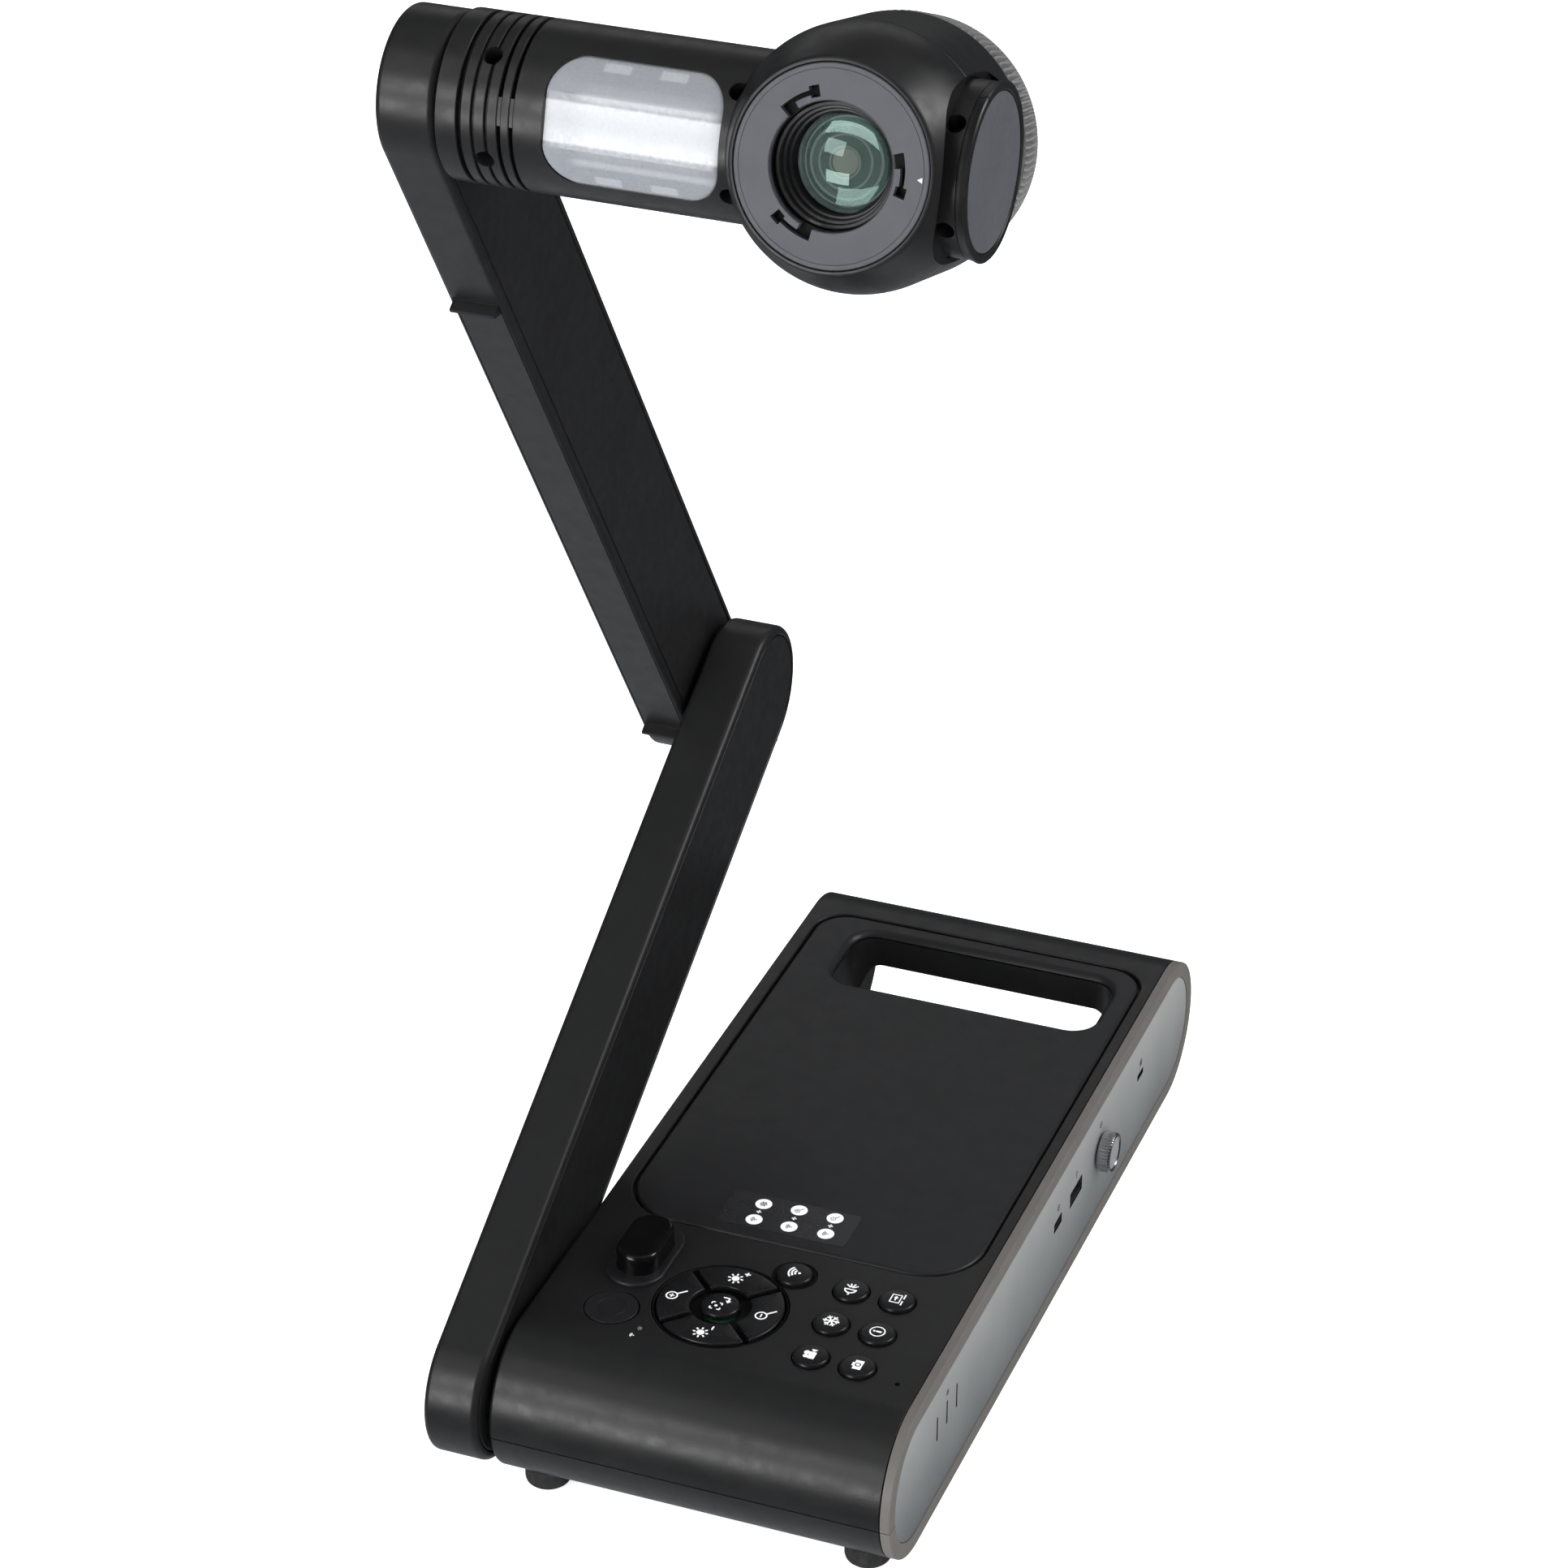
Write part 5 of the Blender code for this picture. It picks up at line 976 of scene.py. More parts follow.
def tube_piece():
    length = TUBE_RIGHT - TUBE_LEFT
    outline = [(0, length), (TUBE_RADIUS, length)]
    for k, x in reversed(list(enumerate(GROOVE_X))):
        half = 0.00045 if k < 2 else 0.0006
        depth = 0.0011 if k < 2 else 0.0050
        high, low = x - TUBE_LEFT + half, x - TUBE_LEFT - half
        outline += [(TUBE_RADIUS, high + 0.0003), (TUBE_RADIUS - 0.0002, high),
                    (TUBE_RADIUS - depth, high), (TUBE_RADIUS - depth, low),
                    (TUBE_RADIUS - 0.0002, low), (TUBE_RADIUS, low - 0.0003)]
    outline += [(TUBE_RADIUS, 0.0007), (TUBE_RADIUS - 0.0007, 0.0), (0, 0.0)]
    tube = lathe("lamp_tube", outline, tube_place(TUBE_LEFT), MATERIALS["black_plastic"], 160)
    window = loft("lamp_window", lamp_outline(0.0002), [(0, TUBE_RADIUS - 0.009), (0, 0.06)],
                  lamp_place())
    bore = lathe("tube_bore", rod(BORE_RADIUS + 0.001, 0.02, -0.08), LENS_PLACE, steps=120)
    carve(tube, window, bore, *screw_cutters("tube", HEAD_SCREW_X))
    piece(tube, "head", "black_plastic", "head_body")
    for k in (2, 3):
        x = GROOVE_X[k]
        r = TUBE_RADIUS
        bridge = [(r - 0.0050, x - TUBE_LEFT - 0.0007), (r - 0.0003, x - TUBE_LEFT - 0.0007),
                  (r - 0.0003, x - TUBE_LEFT + 0.0007), (r - 0.0050, x - TUBE_LEFT + 0.0007),
                  (r - 0.0050, x - TUBE_LEFT - 0.0007)]
        turn = tube_place(TUBE_LEFT)
        probe = (turn.inverted() @ (Vector((TUBE_LEFT, NECK.y, NECK.z)) + LENS_DIR))
        middle = math.degrees(math.atan2(probe.y, probe.x))
        part = lathe(f"slot_bridge_{k}", bridge, turn, MATERIALS["black_plastic"], 12,
                     (middle - 9.5, middle + 9.5))
        piece(part, "head", "black_plastic")


def drum_radius(back):
    part = min(back / DRUM_SPLIT, 1.0)
    return FACE_RADIUS + (DRUM_RADIUS - FACE_RADIUS) * math.sin(part * math.pi / 2)


def drum():
    black = MATERIALS["black_plastic"]
    lip = 0.0006
    flare_points = [(drum_radius(s), -s) for s in
                    (DRUM_SPLIT * (k / 20) for k in range(21)) if s > lip]
    profile = [(0, -0.0040), (PLATE_RADIUS + 0.0002, -0.0040), (PLATE_RADIUS + 0.0002, -0.0004),
               (PLATE_RADIUS + 0.0005, 0.0), (FACE_RADIUS - 0.0004, 0.0),
               (FACE_RADIUS + 0.0001, -0.0003)]
    profile += flare_points + [(DRUM_RADIUS - 0.0004, -DRUM_SPLIT - 0.0002), (0, -DRUM_SPLIT - 0.0002)]
    front = lathe("drum_front", profile, LENS_PLACE, black, 160)
    pocket = lathe("drum_pocket", [(0, 0), (POCKET_RADIUS - 0.0008, 0), (POCKET_RADIUS, 0.0008),
                                   (POCKET_RADIUS, 0.03), (0, 0.03)], tube_place(POCKET_LEFT),
                   steps=128)
    bore = lathe("drum_bore", rod(BORE_RADIUS + 0.001, 0.01, -0.028), LENS_PLACE, steps=96)
    carve(front, pocket, bore, *screw_cutters("drum", HEAD_SCREW_X[1:]))
    piece(front, "head", "black_plastic")

    neck, wall = 0.0352, DRUM_BACK + 0.0026
    outline = [(0, -DRUM_SPLIT - 0.0006), (DRUM_RADIUS - 0.0012, -DRUM_SPLIT - 0.0006),
               (DRUM_RADIUS - 0.0003, -DRUM_SPLIT - 0.0007), (DRUM_RADIUS, -DRUM_SPLIT - 0.0011),
               (DRUM_RADIUS, -DRUM_BACK + 0.0030), (DRUM_RADIUS - 0.0007, -DRUM_BACK + 0.0008),
               (DRUM_RADIUS - 0.0020, -DRUM_BACK), (neck, -DRUM_BACK), (neck, -wall - 0.0050),
               (0, -wall - 0.0050)]
    cover = lathe("drum_rear", outline, LENS_PLACE, black, 160)
    around = lathe("rear_clearance", [(0, 0.03), (CAP_RADIUS + 0.0026, 0.03),
                                      (CAP_RADIUS + 0.0026, -0.0060), (CAP_RADIUS + GAP, -0.0066),
                                      (TUBE_RADIUS + GAP, -0.0068), (TUBE_RADIUS + GAP, -0.12),
                                      (0, -0.12)], tube_place(TUBE_RIGHT), steps=128)
    piece(carve(cover, around), "head", "black_plastic", "head_rear_cover")


def end_cap():
    left = TUBE_RIGHT + 0.0002
    depth = CAP_RIGHT - left
    outline = [(0, depth - 0.0012), (CAP_DISC_RADIUS + 0.0003, depth - 0.0012),
               (CAP_DISC_RADIUS + 0.0003, depth - 0.0003), (CAP_DISC_RADIUS + 0.0006, depth),
               (CAP_RADIUS - 0.0005, depth), (CAP_RADIUS, depth - 0.0005),
               (CAP_RADIUS - 0.0003, depth - 0.0012), (TUBE_RADIUS + 0.0002, depth - 0.0022),
               (TUBE_RADIUS, 0.0), (TUBE_RADIUS - 0.0006, -0.0003), (0.0, -0.0003)]
    cap = lathe("cap_flared", corner(outline, 0.00015, closed=False, steps=2), tube_place(left),
                MATERIALS["black_plastic"], 160)
    notch = brick("cap_notch", (left - 0.001, -0.0002, TUBE_RADIUS - 0.0012),
                  (CAP_RIGHT + 0.001, 0.0002, CAP_RADIUS + 0.002),
                  Matrix.Translation((0, NECK.y, NECK.z)) @ Matrix.Rotation(0.25, 4, "X"))
    piece(carve(cap, notch), "head", "black_plastic", "end_cap")
    disc = [(0, 0.0008), (CAP_DISC_RADIUS - 0.0006, 0.0008), (CAP_DISC_RADIUS - 0.0001, 0.0005),
            (CAP_DISC_RADIUS, 0.0), (0, 0.0)]
    piece(lathe("cap_disc", disc, tube_place(CAP_RIGHT - 0.0009), MATERIALS["face_grey"], 128),
          "head", "face_grey", "end_cap_disc")


def lamp_cover():
    """The milky lamp cover: the tube's own curve, trimmed to the window, with a soft edge."""
    bm = bmesh.new()
    outline = lamp_outline(0.0)
    rings = []
    for inset, sink in ((0.0001, 0.0030), (0.0001, 0.0006), (0.0003, 0.0003), (0.0007, 0.0001),
                        (0.0013, 0.0), (0.004, 0.0), (0.0075, 0.0)):
        ring = []
        for x, v in outline(inset):
            radius = TUBE_RADIUS - 0.00005 - sink
            ring.append(bm.verts.new((x, v, math.sqrt(radius ** 2 - v ** 2))))
        rings.append(ring)
    skin(bm, rings)
    inner = rings[-1]
    count = len(inner)
    quarter = count // 4
    left = [inner[(3 * quarter + k) % count] for k in range(quarter)]
    left = left + inner[:quarter]
    right = inner[quarter:3 * quarter]
    rows = []
    for one, two in zip(left, reversed(right)):
        steps = 24
        row = [one]
        for k in range(1, steps):
            x = one.co.x + (two.co.x - one.co.x) * k / steps
            v = one.co.y + (two.co.y - one.co.y) * k / steps
            row.append(bm.verts.new((x, v, math.sqrt((TUBE_RADIUS - 0.00005) ** 2 - v ** 2))))
        rows.append(row + [two])
    for one, two in zip(rows, rows[1:]):
        for i in range(len(one) - 1):
            bm.faces.new((one[i], one[i + 1], two[i + 1], two[i]))
    cover = finish_mesh("lamp_cover", bm, lamp_place(), MATERIALS["diffuser"], 40)
    piece(cover, "head", "diffuser", "lamp_diffuser", weighted=False)


def face():
    """The grey face: rim groove, bayonet slots and an index mark."""
    r = PLATE_RADIUS
    outline = [(BORE_RADIUS, -0.0003), (BORE_RADIUS + 0.0003, 0.0), (r - 0.0018, 0.0),
               (r - 0.0017, -0.0002), (r - 0.00155, -0.0002), (r - 0.00145, 0.0), (r - 0.0003, 0.0),
               (r, -0.0003), (r, -0.0026), (BORE_RADIUS, -0.0026), (BORE_RADIUS, -0.0003)]
    plate = lathe("face_plate", outline, LENS_PLACE, MATERIALS["face_grey"], 160)
    tools = []
    for i in range(3):
        turn = LENS_PLACE @ Matrix.Rotation(math.radians(120 * i + 1.5), 4, "Z")
        points = (arc((0, 0), 0.0252, -17, -9, 6) + arc((0, 0), 0.0240, -8.9, 17, 12)
                  + arc((0, 0), 0.0190, 17, 5, 6) + arc((0, 0), 0.0224, 4.9, -8.9, 6)
                  + arc((0, 0), 0.0215, -9, -17, 6))
        tools.append(prism(f"bayonet_{i}", points, -0.005, 0.005, turn))
    piece(carve(plate, *tools), "head", "face_grey", "front_plate")
    # Painted shade: a dark ring behind the face plate, where shade falls behind its slots.
    well = lathe("face_well", [(BORE_RADIUS - 0.0004, -0.0031), (r - 0.002, -0.0031),
                               (r - 0.002, -0.0036),
                               (BORE_RADIUS - 0.0004, -0.0036), (BORE_RADIUS - 0.0004, -0.0031)],
                 LENS_PLACE, PAINTED_SHADE_BLACK, 96)
    piece(well, "head", "deck_plastic")
    mark = [(28.0, 0.0), (29.6, -0.85), (29.6, 0.85)]
    bm = bmesh.new()
    bm.faces.new([bm.verts.new((x / 1000, y / 1000, 0.00006)) for x, y in mark])
    index = finish_mesh("index_mark", bm, LENS_PLACE, INK)
    index.modifiers.new("ink", "SOLIDIFY").thickness = 0.00004
    piece(index, "head", "face_grey", weighted=False)


def lens():
    outer, glass = BORE_RADIUS - 0.0006, 0.0156
    outline = [(0, -0.0262), (0.0090, -0.0262), (0.0090, -0.0230), (0.0118, -0.0218),
               (0.0118, -0.0196), (glass - 0.0016, -0.0188), (glass - 0.0016, -0.0152),
               (glass + 0.0004, -0.0150), (glass + 0.0004, -0.0112), (glass + 0.0002, -0.0100),
               (glass + 0.0006, -0.0094), (glass + 0.0014, -0.0094), (glass + 0.0014, -0.0072),
               (glass + 0.0018, -0.0069), (glass + 0.0026, -0.0069), (glass + 0.0026, -0.0046),
               (glass + 0.0029, -0.0043), (outer, -0.0043), (outer, -0.0770), (0, -0.0770)]
    barrel = lathe("lens_barrel_rings", corner(outline, 0.00018, closed=False, steps=2), LENS_PLACE,
                   MATERIALS["black_plastic"], 144)
    piece(barrel, "lens_turret", "black_plastic", "lens_barrel")

    def dome(name, radius, front, drop, thick, mat, slot, *nodes):
        face = [(radius * k / 14, -front - drop * (1 - math.sqrt(max(1 - (0.92 * k / 14) ** 2, 0)))
                 / (1 - math.sqrt(1 - 0.92 ** 2))) for k in range(15)]
        rim = face[-1][1] - thick
        back = [(radius, rim), (radius * 0.6, rim + 0.0003), (0, rim + 0.0005)]
        piece(lathe(name, face + back, LENS_PLACE, mat, 96), "lens_turret", slot, *nodes,
              weighted=False)
    dome("front_element", glass - 0.0001, 0.0096, 0.0040, 0.0012, MATERIALS["lens_glass"],
         "lens_glass", "front_glass")
    # Painted light: the inner elements, rings and iris below carry glowing materials.
    dome("second_element", 0.0132, 0.0160, 0.0020, 0.0010, COATING_PAINTED_GLOW, "lens_glass", "inner_glass")
    for name, radius, height, width in (("element_ring_outer", 0.0129, -0.0170, 0.00030),
                                        ("element_ring", 0.0110, -0.0160, 0.00045),
                                        ("element_ring_inner", 0.0082, -0.0152, 0.00038),
                                        ("element_ring_middle", 0.0047, -0.0147, 0.00032)):
        ring = corner([(radius - width, height), (radius, height + width), (radius + width, height),
                       (radius, height - 0.0006)], 0.00015)
        piece(lathe(name, ring + ring[:1], LENS_PLACE, ELEMENT_RIM, 96), "lens_turret",
              "black_plastic")
    dome("iris_element", 0.0106, 0.0153, 0.0010, 0.0006, IRIS, "lens_glass")
    dome("iris_centre", 0.0040, 0.0146, 0.0004, 0.0008, IRIS_CENTRE, "lens_glass")


def grip_ring():
    """The ring at the back, with its grip teeth and a shallow dish behind."""
    front, back = DRUM_BACK + 0.0004, RING_BACK
    outline = [(0, -back + 0.0042), (0.0330, -back + 0.0042), (0.0362, -back + 0.0080),
               (0.0362, -front), (0.0414, -front), (0.0421, -front - 0.0006)]
    taper = [(GRIP_FRONT + (GRIP_REAR - GRIP_FRONT) * k / 6,
              -front - 0.0011 + (-back + 0.0018 + front) * k / 6) for k in range(7)]
    outline += taper + [(0.0391, -back + 0.0004), (0.0383, -back), (0.0340, -back),
                        (0.0330, -back + 0.0010), (0, -back + 0.0014)]

    def teeth(radius, height, angle):
        if radius < 0.0395 or height > -front - 0.0004 or height < -back + 0.0010:
            return radius
        wave = math.cos(angle * GRIP_TEETH)
        return radius - GRIP_DEPTH * (0.5 - 0.5 * max(-1.0, min(1.0, wave * 1.8)))
    ring = lathe("grip_ring", outline, LENS_PLACE, MATERIALS["ring_grey"], 8 * GRIP_TEETH,
                 radius_at=teeth)
    piece(ring, "lens_turret", "ring_grey", "rotation_ring")


# --------------------------------------------------------------------- icons
def stroke(a, b, width):
    (ax, ay), (bx, by) = a, b
    length = math.hypot(bx - ax, by - ay)
    nx, ny = -(by - ay) / length * width / 2, (bx - ax) / length * width / 2
    return [(ax - nx, ay - ny), (bx - nx, by - ny), (bx + nx, by + ny), (ax + nx, ay + ny)]


def strokes(points, width):
    return [stroke(a, b, width) for a, b in zip(points, points[1:])]


def hoop(centre, radius, width, first=0, last=360, steps=24):
    inner = arc(centre, radius - width / 2, first, last, steps)
    outer = arc(centre, radius + width / 2, first, last, steps)
    return [[inner[k], outer[k], outer[k + 1], inner[k + 1]] for k in range(steps)]


def disc(centre, radius, steps=20):
    return [arc(centre, radius, 0, 360 - 360 / steps, steps - 1)]


def bar(x0, y0, x1, y1):
    return [[(x0, y0), (x1, y0), (x1, y1), (x0, y1)]]


def cross(centre, size, width, upright=True):
    x, y = centre
    shapes = bar(x - size, y - width / 2, x + size, y + width / 2)
    if upright:
        shapes += bar(x - width / 2, y - size, x + width / 2, y + size)
    return shapes


def sun(plus):
    shapes = disc((-0.7, 0.5), 1.25)
    for k in range(8):
        a = math.radians(45 * k)
        way = (math.cos(a), math.sin(a))
        shapes.append(stroke((-0.7 + 1.6 * way[0], 0.5 + 1.6 * way[1]),
                             (-0.7 + 2.5 * way[0], 0.5 + 2.5 * way[1]), 0.55))
    return shapes + cross((2.6, -2.3), 0.95, 0.55, plus)


def magnifier(plus):
    way = math.sqrt(0.5)
    shapes = hoop((-1.0, 1.0), 1.75, 0.5)
    shapes.append(stroke((-1.0 + 1.9 * way, 1.0 - 1.9 * way), (-1.0 + 5.4 * way, 1.0 - 5.4 * way), 0.55))
    return shapes + cross((-1.0, 1.0), 0.85, 0.45, plus)


def icon_shapes():
    waves = disc((0, -1.7), 0.5) + [q for r in (1.5, 2.6, 3.7)
                                    for q in hoop((0, -1.7), r, 0.62, 45, 135, 10)]
    lamp = hoop((-0.6, 0.0), 1.9, 0.55, 90, 270, 14) + bar(-0.85, -2.2, -0.35, 2.2)
    lamp += bar(-3.6, -0.3, -2.4, 0.3)
    lamp += [stroke((0.5 * math.cos(a) + 0.1, 0.5 * math.sin(a)),
                    (2.6 * math.cos(a) + 0.1, 2.6 * math.sin(a)), 0.5)
             for a in (math.radians(d) for d in (-50, -17, 17, 50))]
    screen = bar(-2.3, -0.9, -1.9, 2.3) + bar(1.9, -0.9, 2.3, 2.3) + bar(-2.3, 1.9, 2.3, 2.3)
    screen += bar(-2.3, -1.3, 2.3, -0.9) + bar(-3.0, -2.3, 3.0, -1.8)
    screen += [stroke((-1.1, 0.5), (0.6, 0.5), 0.5), stroke((0.2, 1.1), (1.1, 0.5), 0.45),
               stroke((0.2, -0.1), (1.1, 0.5), 0.45)]
    flake = []
    for k in range(6):
        a = math.radians(60 * k + 30)
        way, side = (math.cos(a), math.sin(a)), (-math.sin(a), math.cos(a))
        flake.append(stroke((0, 0), (2.9 * way[0], 2.9 * way[1]), 0.55))
        for s in (-1, 1):
            flake.append(stroke((1.5 * way[0], 1.5 * way[1]),
                                (2.3 * way[0] + s * 0.9 * side[0],
                                 2.3 * way[1] + s * 0.9 * side[1]), 0.45))
    info = hoop((0, 0), 2.5, 0.42) + disc((0, 1.15), 0.42) + bar(-0.38, -1.5, 0.38, 0.5)
    record = bar(-2.4, -1.8, 1.2, 0.5) + disc((-1.5, 1.3), 0.85) + disc((0.4, 1.4), 1.0)
    record += [[(1.5, -0.9), (2.7, -1.7), (2.7, 0.4), (1.5, -0.2)]]
    capture = bar(-2.4, -1.7, -1.2, 1.2) + bar(1.2, -1.7, 2.4, 1.2) + bar(-1.2, -1.7, 1.2, -1.25)
    capture += bar(-1.2, 1.0, 1.2, 1.2) + bar(-0.9, 1.2, 0.9, 1.8) + hoop((0, -0.15), 1.25, 0.35)
    capture += disc((0, -0.15), 0.62)
    focus = []
    for sx in (-1, 1):
        for sy in (-1, 1):
            focus += strokes([(sx * 0.8 - 1.7, sy * 1.9 + 1.1), (sx * 1.9 - 1.7, sy * 1.9 + 1.1),
                              (sx * 1.9 - 1.7, sy * 0.8 + 1.1)], 0.5)
    focus += disc((-1.7, 1.1), 0.6)
    focus += strokes([(3.9, 0.2), (3.9, -2.2), (2.2, -2.2)], 0.65)
    focus += [[(2.4, -3.3), (2.4, -1.1), (0.9, -2.2)]]
    return {"wifi_key": waves, "lamp_key": lamp, "source_key": screen, "freeze_key": flake,
            "info_key": info, "record_key": record, "capture_key": capture, "focus_key": focus,
            "brighter_key": sun(True), "darker_key": sun(False), "zoom_in_key": magnifier(True),
            "zoom_out_key": magnifier(False)}


def decal(name, shapes, place, height, mat, body, slot, scale=0.001):
    """Ink on a surface: convex shapes in millimetres laid on a height above the place."""
    bm = bmesh.new()
    for shape in shapes:
        made = bm.faces.new([bm.verts.new((u * scale, v * scale, height(u * scale, v * scale)))
                             for u, v in shape])
        made.normal_update()
        if made.normal.z < 0:
            made.normal_flip()
    mesh = bpy.data.meshes.new(name)
    bm.to_mesh(mesh)
    bm.free()
    mesh.transform(place)
    mesh.materials.append(mat)
    obj = bpy.data.objects.new(name, mesh)
    bpy.context.scene.collection.objects.link(obj)
    ink = obj.modifiers.new("ink", "SOLIDIFY")
    ink.thickness = 0.00003
    ink.offset = 1.0
    return piece(obj, body, slot, weighted=False)


DECK_TURN = Matrix.Rotation(math.radians(90), 4, "Z")


def icons():
    shapes = icon_shapes()
    lift = 0.00004
    for name, centre in key_centres().items():
        decal(name + "_icon", shapes[name], on_deck(centre) @ DECK_TURN,
              lambda u, v: ROUND_TOP(math.hypot(u, v)) + lift, INK, name, "key_rubber", 0.00108)
    decal("focus_key_icon", shapes["focus_key"], on_deck(NAV_CENTRE) @ DECK_TURN,
          lambda u, v: FOCUS_TOP(math.hypot(u, v)) + lift, INK, "focus_key", "key_rubber")
    for name, turn in NAV_TURNS.items():
        a = math.radians(turn)
        dx, dy = NAV_ICON_AT * math.cos(a), NAV_ICON_AT * math.sin(a)
        centre = (NAV_CENTRE[0] + dx, NAV_CENTRE[1] + dy)

        def on_ring(u, v, dx=dx, dy=dy):
            return nav_height(math.hypot(dx - v, dy + u)) + lift
        decal(name + "_icon", shapes[name], on_deck(centre) @ DECK_TURN, on_ring, INK, name,
              "key_rubber", 0.00116)
    small = disc((0, -1.2), 0.4) + [q for r in (1.2, 2.1) for q in hoop((0, -1.2), r, 0.5, 40, 140, 8)]
    decal("link_icon", small, on_deck((LED_AT[0] - 0.0012, LED_AT[1] - 0.0048)) @ DECK_TURN,
          lambda u, v: lift, INK, "base", "label_film", 0.0006)
    label_icons(lift)
    side_icons()


def label_icons(lift):
    spots = [(0.375, 0.420), (0.376, 0.352), (0.465, 0.426), (0.466, 0.354), (0.558, 0.426),
             (0.559, 0.358)]
    ink, dark = [], []

    def on_label(across, along):
        """Millimetres from the label's middle, from parts of the base's width."""
        x, y = BASE_WIDTH * across + BASE_LEFT, BASE_WIDTH * along - 0.1160
        return (y - LABEL_CENTRE[1]) * 1000, -(x - LABEL_CENTRE[0]) * 1000
    top = lambda u, v: 0.00014 + lift
    above = lambda u, v: 0.00014 + lift * 2
    motifs = icon_shapes()
    order = ["freeze_key", "wifi_key", "zoom_in_key", "wifi_key", "zoom_out_key", "wifi_key"]
    for (px, py), motif in zip(spots, order):
        u, v = on_label(px, py)
        ink += disc((u, v), 3.15, 40)
        dark += [[(u + a * 0.52, v + b * 0.52) for a, b in shape] for shape in motifs[motif]]
    for (ax, ay), (bx, by) in zip(spots[::2], spots[1::2]):
        ink += cross(on_label((ax + bx) / 2, (ay + by) / 2), 0.95, 0.5)
    place = on_deck(LABEL_CENTRE) @ DECK_TURN
    decal("label_discs", ink, place, top, INK, "base", "label_film")
    decal("label_symbols", dark, place, above, INK_GREY, "base", "label_film")


def side_icons():
    """Small generic port symbols above the openings: their up is towards the deck."""
    lift = 0.00003
    lock = hoop((0, 0.6), 0.9, 0.35, 0, 180, 10) + bar(-1.3, -1.4, 1.3, 0.6)
    plug = disc((0, -1.5), 0.45, 12) + bar(-0.15, -1.5, 0.15, 1.6)
    plug += strokes([(-1, -0.2), (-1, 0.4), (0, 0.9)], 0.3)
    plug += strokes([(1, 0.1), (1, 0.6), (0, 1.0)], 0.3)
    card = hoop((0, 0), 1.2, 0.35) + disc((0, 0), 0.4, 12)
    fan = hoop((0, 0), 1.1, 0.3) + cross((0, 0), 0.8, 0.3)
    spots = [("lock", lock, PORTS[2][0], 0.0468), ("plug", plug, PORTS[0][0], 0.0466),
             ("card", card, PORTS[1][0], 0.0458), ("dial", card, KNOB_AT[0], 0.0500),
             ("fan", fan, VENT_Y[1], 0.0500)]
    for tag, shapes, y, z in spots:
        place = Matrix.Translation((BASE_RIGHT - 0.0004, y, z)) @ SIDEWAYS
        decal(f"port_symbol_{tag}", shapes, place, lambda u, v: lift, INK_GREY, "base", "panel_silver")


# ------------------------------------------------------------ kept CAD nodes
def kept_nodes():
    slots = {"usb_socket": "steel", "sync_socket": "steel", "hdmi_socket": "steel",
             "usb_b_socket": "steel", "dc_inlet": "ir_acrylic", "io_panel": "deck_plastic",
             "ballast_plate": "steel", "main_board": "circuit_board", "keypad_board": "circuit_board",
             "lamp_board": "circuit_board", "sensor_board": "circuit_board", "hinge_bush": "brass",
             "base_shaft": "steel", "elbow_shaft": "steel", "neck_shaft": "steel"}
    for name, slot in slots.items():
        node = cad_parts[name]
        node.data.materials.clear()
        node.data.materials.append(MATERIALS[slot])
        edge = node.modifiers.new("edge", "BEVEL")
        edge.width = 0.0001
        edge.segments = 2
        edge.limit_method = "ANGLE"
        edge.angle_limit = math.radians(40)


# --------------------------------------------------------------------- stage
def stage():
    bm = bmesh.new()
    profile = [(0.0, 0.0), (0.6, 0.0), (2.0, 0.0), (4.0, 0.0)]
    profile += [(4.0 + 1.2 * math.sin(a), 1.2 * (1 - math.cos(a)))
                for a in (math.radians(15 * k) for k in range(1, 7))]
    profile += [(5.2, 6.0)]
    rings = []
    for k in range(96):
        a = math.radians(360 * k / 96)
        rings.append([bm.verts.new((r * math.cos(a), r * math.sin(a), z)) for r, z in profile])
    for k in range(96):
        one, two = rings[k], rings[(k + 1) % 96]
        for i in range(len(profile) - 1):
            bm.faces.new((one[i], two[i], two[i + 1], one[i + 1]))
    bmesh.ops.remove_doubles(bm, verts=bm.verts, dist=1e-6)
    bmesh.ops.recalc_face_normals(bm, faces=bm.faces)
    mesh = bpy.data.meshes.new("studio_floor")
    bm.to_mesh(mesh)
    bm.free()
    floor = bpy.data.objects.new("studio_floor", mesh)
    mesh.materials.append(floor_paint("floor_pale", 0.72))
    floor.visible_glossy = False
    mesh.shade_smooth()
    bpy.context.scene.collection.objects.link(floor)


def softbox(name, location, target, size, power):
    data = bpy.data.lights.new(name, "AREA")
    data.shape = "RECTANGLE"
    data.size, data.size_y = size
    data.energy = power
    lamp = bpy.data.objects.new(name, data)
    lamp.location = location
    way = Vector(target) - Vector(location)
    lamp.rotation_euler = way.to_track_quat("-Z", "Y").to_euler()
    bpy.context.scene.collection.objects.link(lamp)
    return lamp


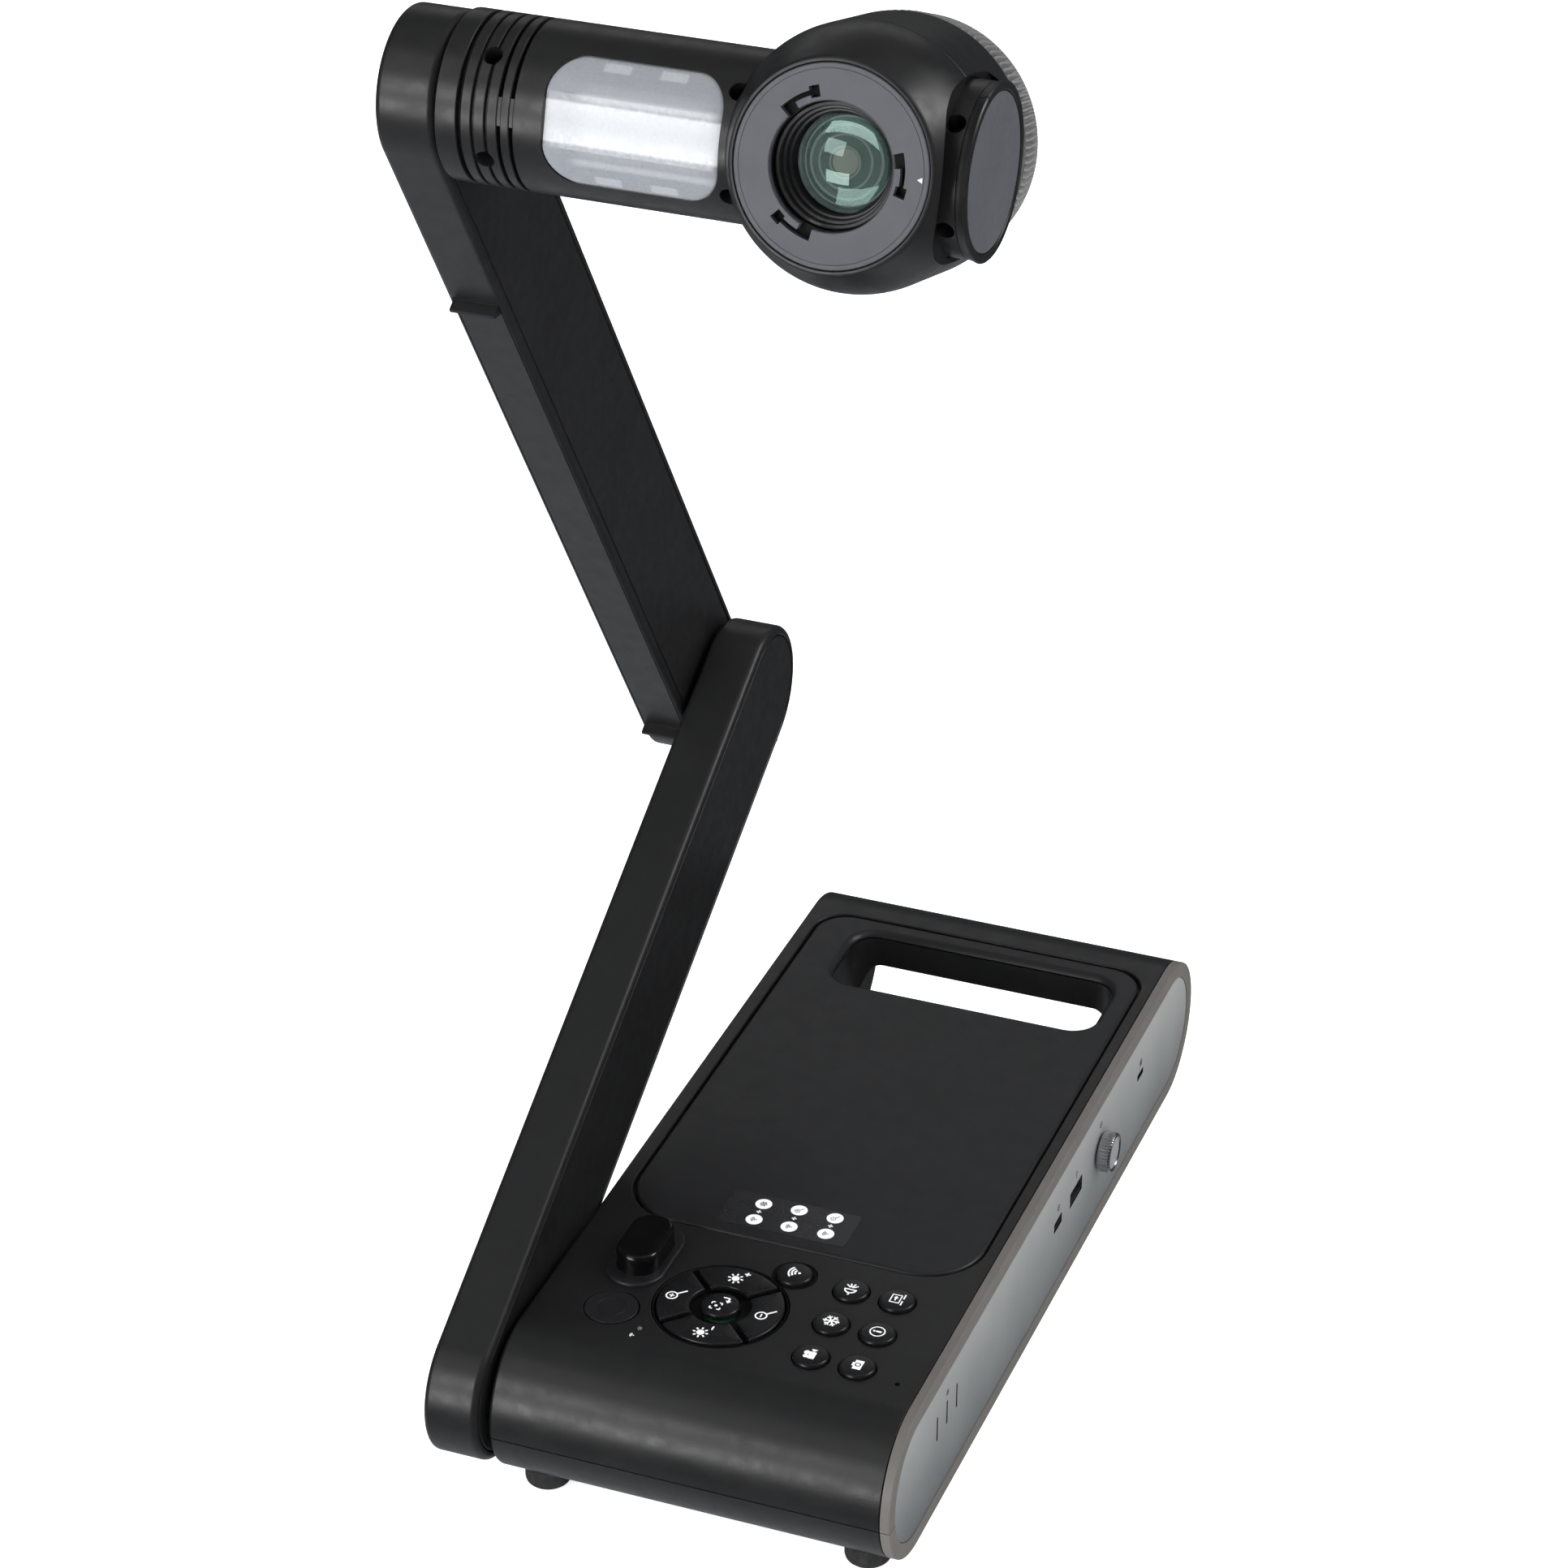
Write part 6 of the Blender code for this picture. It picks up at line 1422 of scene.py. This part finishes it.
def light():
    world = bpy.data.worlds.new("studio")
    bpy.context.scene.world = world
    world.use_nodes = True
    tree = world.node_tree
    back = tree.nodes["Background"]
    back.inputs["Color"].default_value = (0.92, 0.95, 1.0, 1.0)
    way = tree.nodes.new("ShaderNodeTexCoord")
    toward = tree.nodes.new("ShaderNodeVectorMath")
    toward.operation = "DOT_PRODUCT"
    toward.inputs[1].default_value = Vector((-0.30, 0.15, -0.94)).normalized()
    tree.links.new(way.outputs["Generated"], toward.inputs[0])
    rise = tree.nodes.new("ShaderNodeMapRange")
    rise.interpolation_type = "SMOOTHSTEP"
    for key, value in (("From Min", 0.45), ("From Max", 0.95), ("To Min", 0.06), ("To Max", 0.50)):
        rise.inputs[key].default_value = value
    tree.links.new(toward.outputs["Value"], rise.inputs["Value"])
    tree.links.new(rise.outputs["Result"], back.inputs["Strength"])
    softbox("low_box", (-0.9, -2.6, 0.22), (0, 0, 0.1), (1.0, 0.5), 19)
    softbox("key_box", (-1.1, -2.3, 1.35), (0, 0, 0.3), (0.9, 0.6), 14)
    softbox("high_box", (-1.1, -1.5, 2.6), (0, 0, 0.2), (1.4, 1.0), 5)
    softbox("top_box", (0.3, 0.2, 3.2), (0, 0, 0.1), (3.2, 3.2), 9)
    softbox("right_box", (1.75, 0.85, 1.80), (0.05, -0.05, 0.45), (1.0, 1.0), 20)
    softbox("back_box", (-0.9, 2.4, 1.5), (0, 0, 0.25), (2.2, 0.8), 3)


def camera():
    data = bpy.data.cameras.new("photo_camera")
    data.lens = 111.29
    data.sensor_width = 36.0
    obj = bpy.data.objects.new("photo_camera", data)
    obj.location = (0.53199, -1.41986, 1.10783)
    obj.rotation_euler = (math.radians(59.553), 0.0, math.radians(20.93))
    bpy.context.scene.collection.objects.link(obj)
    bpy.context.scene.camera = obj
    bpy.context.scene.view_settings.view_transform = "Standard"


camera()
upper_shell()
lower_shell()
feet()
deck()
side()
knob()
round_keys()
nav_keys()
nav_dish()
deck_trim()
arms()
tube_piece()
drum()
end_cap()
lamp_cover()
face()
lens()
grip_ring()
icons()
kept_nodes()
stage()
light()
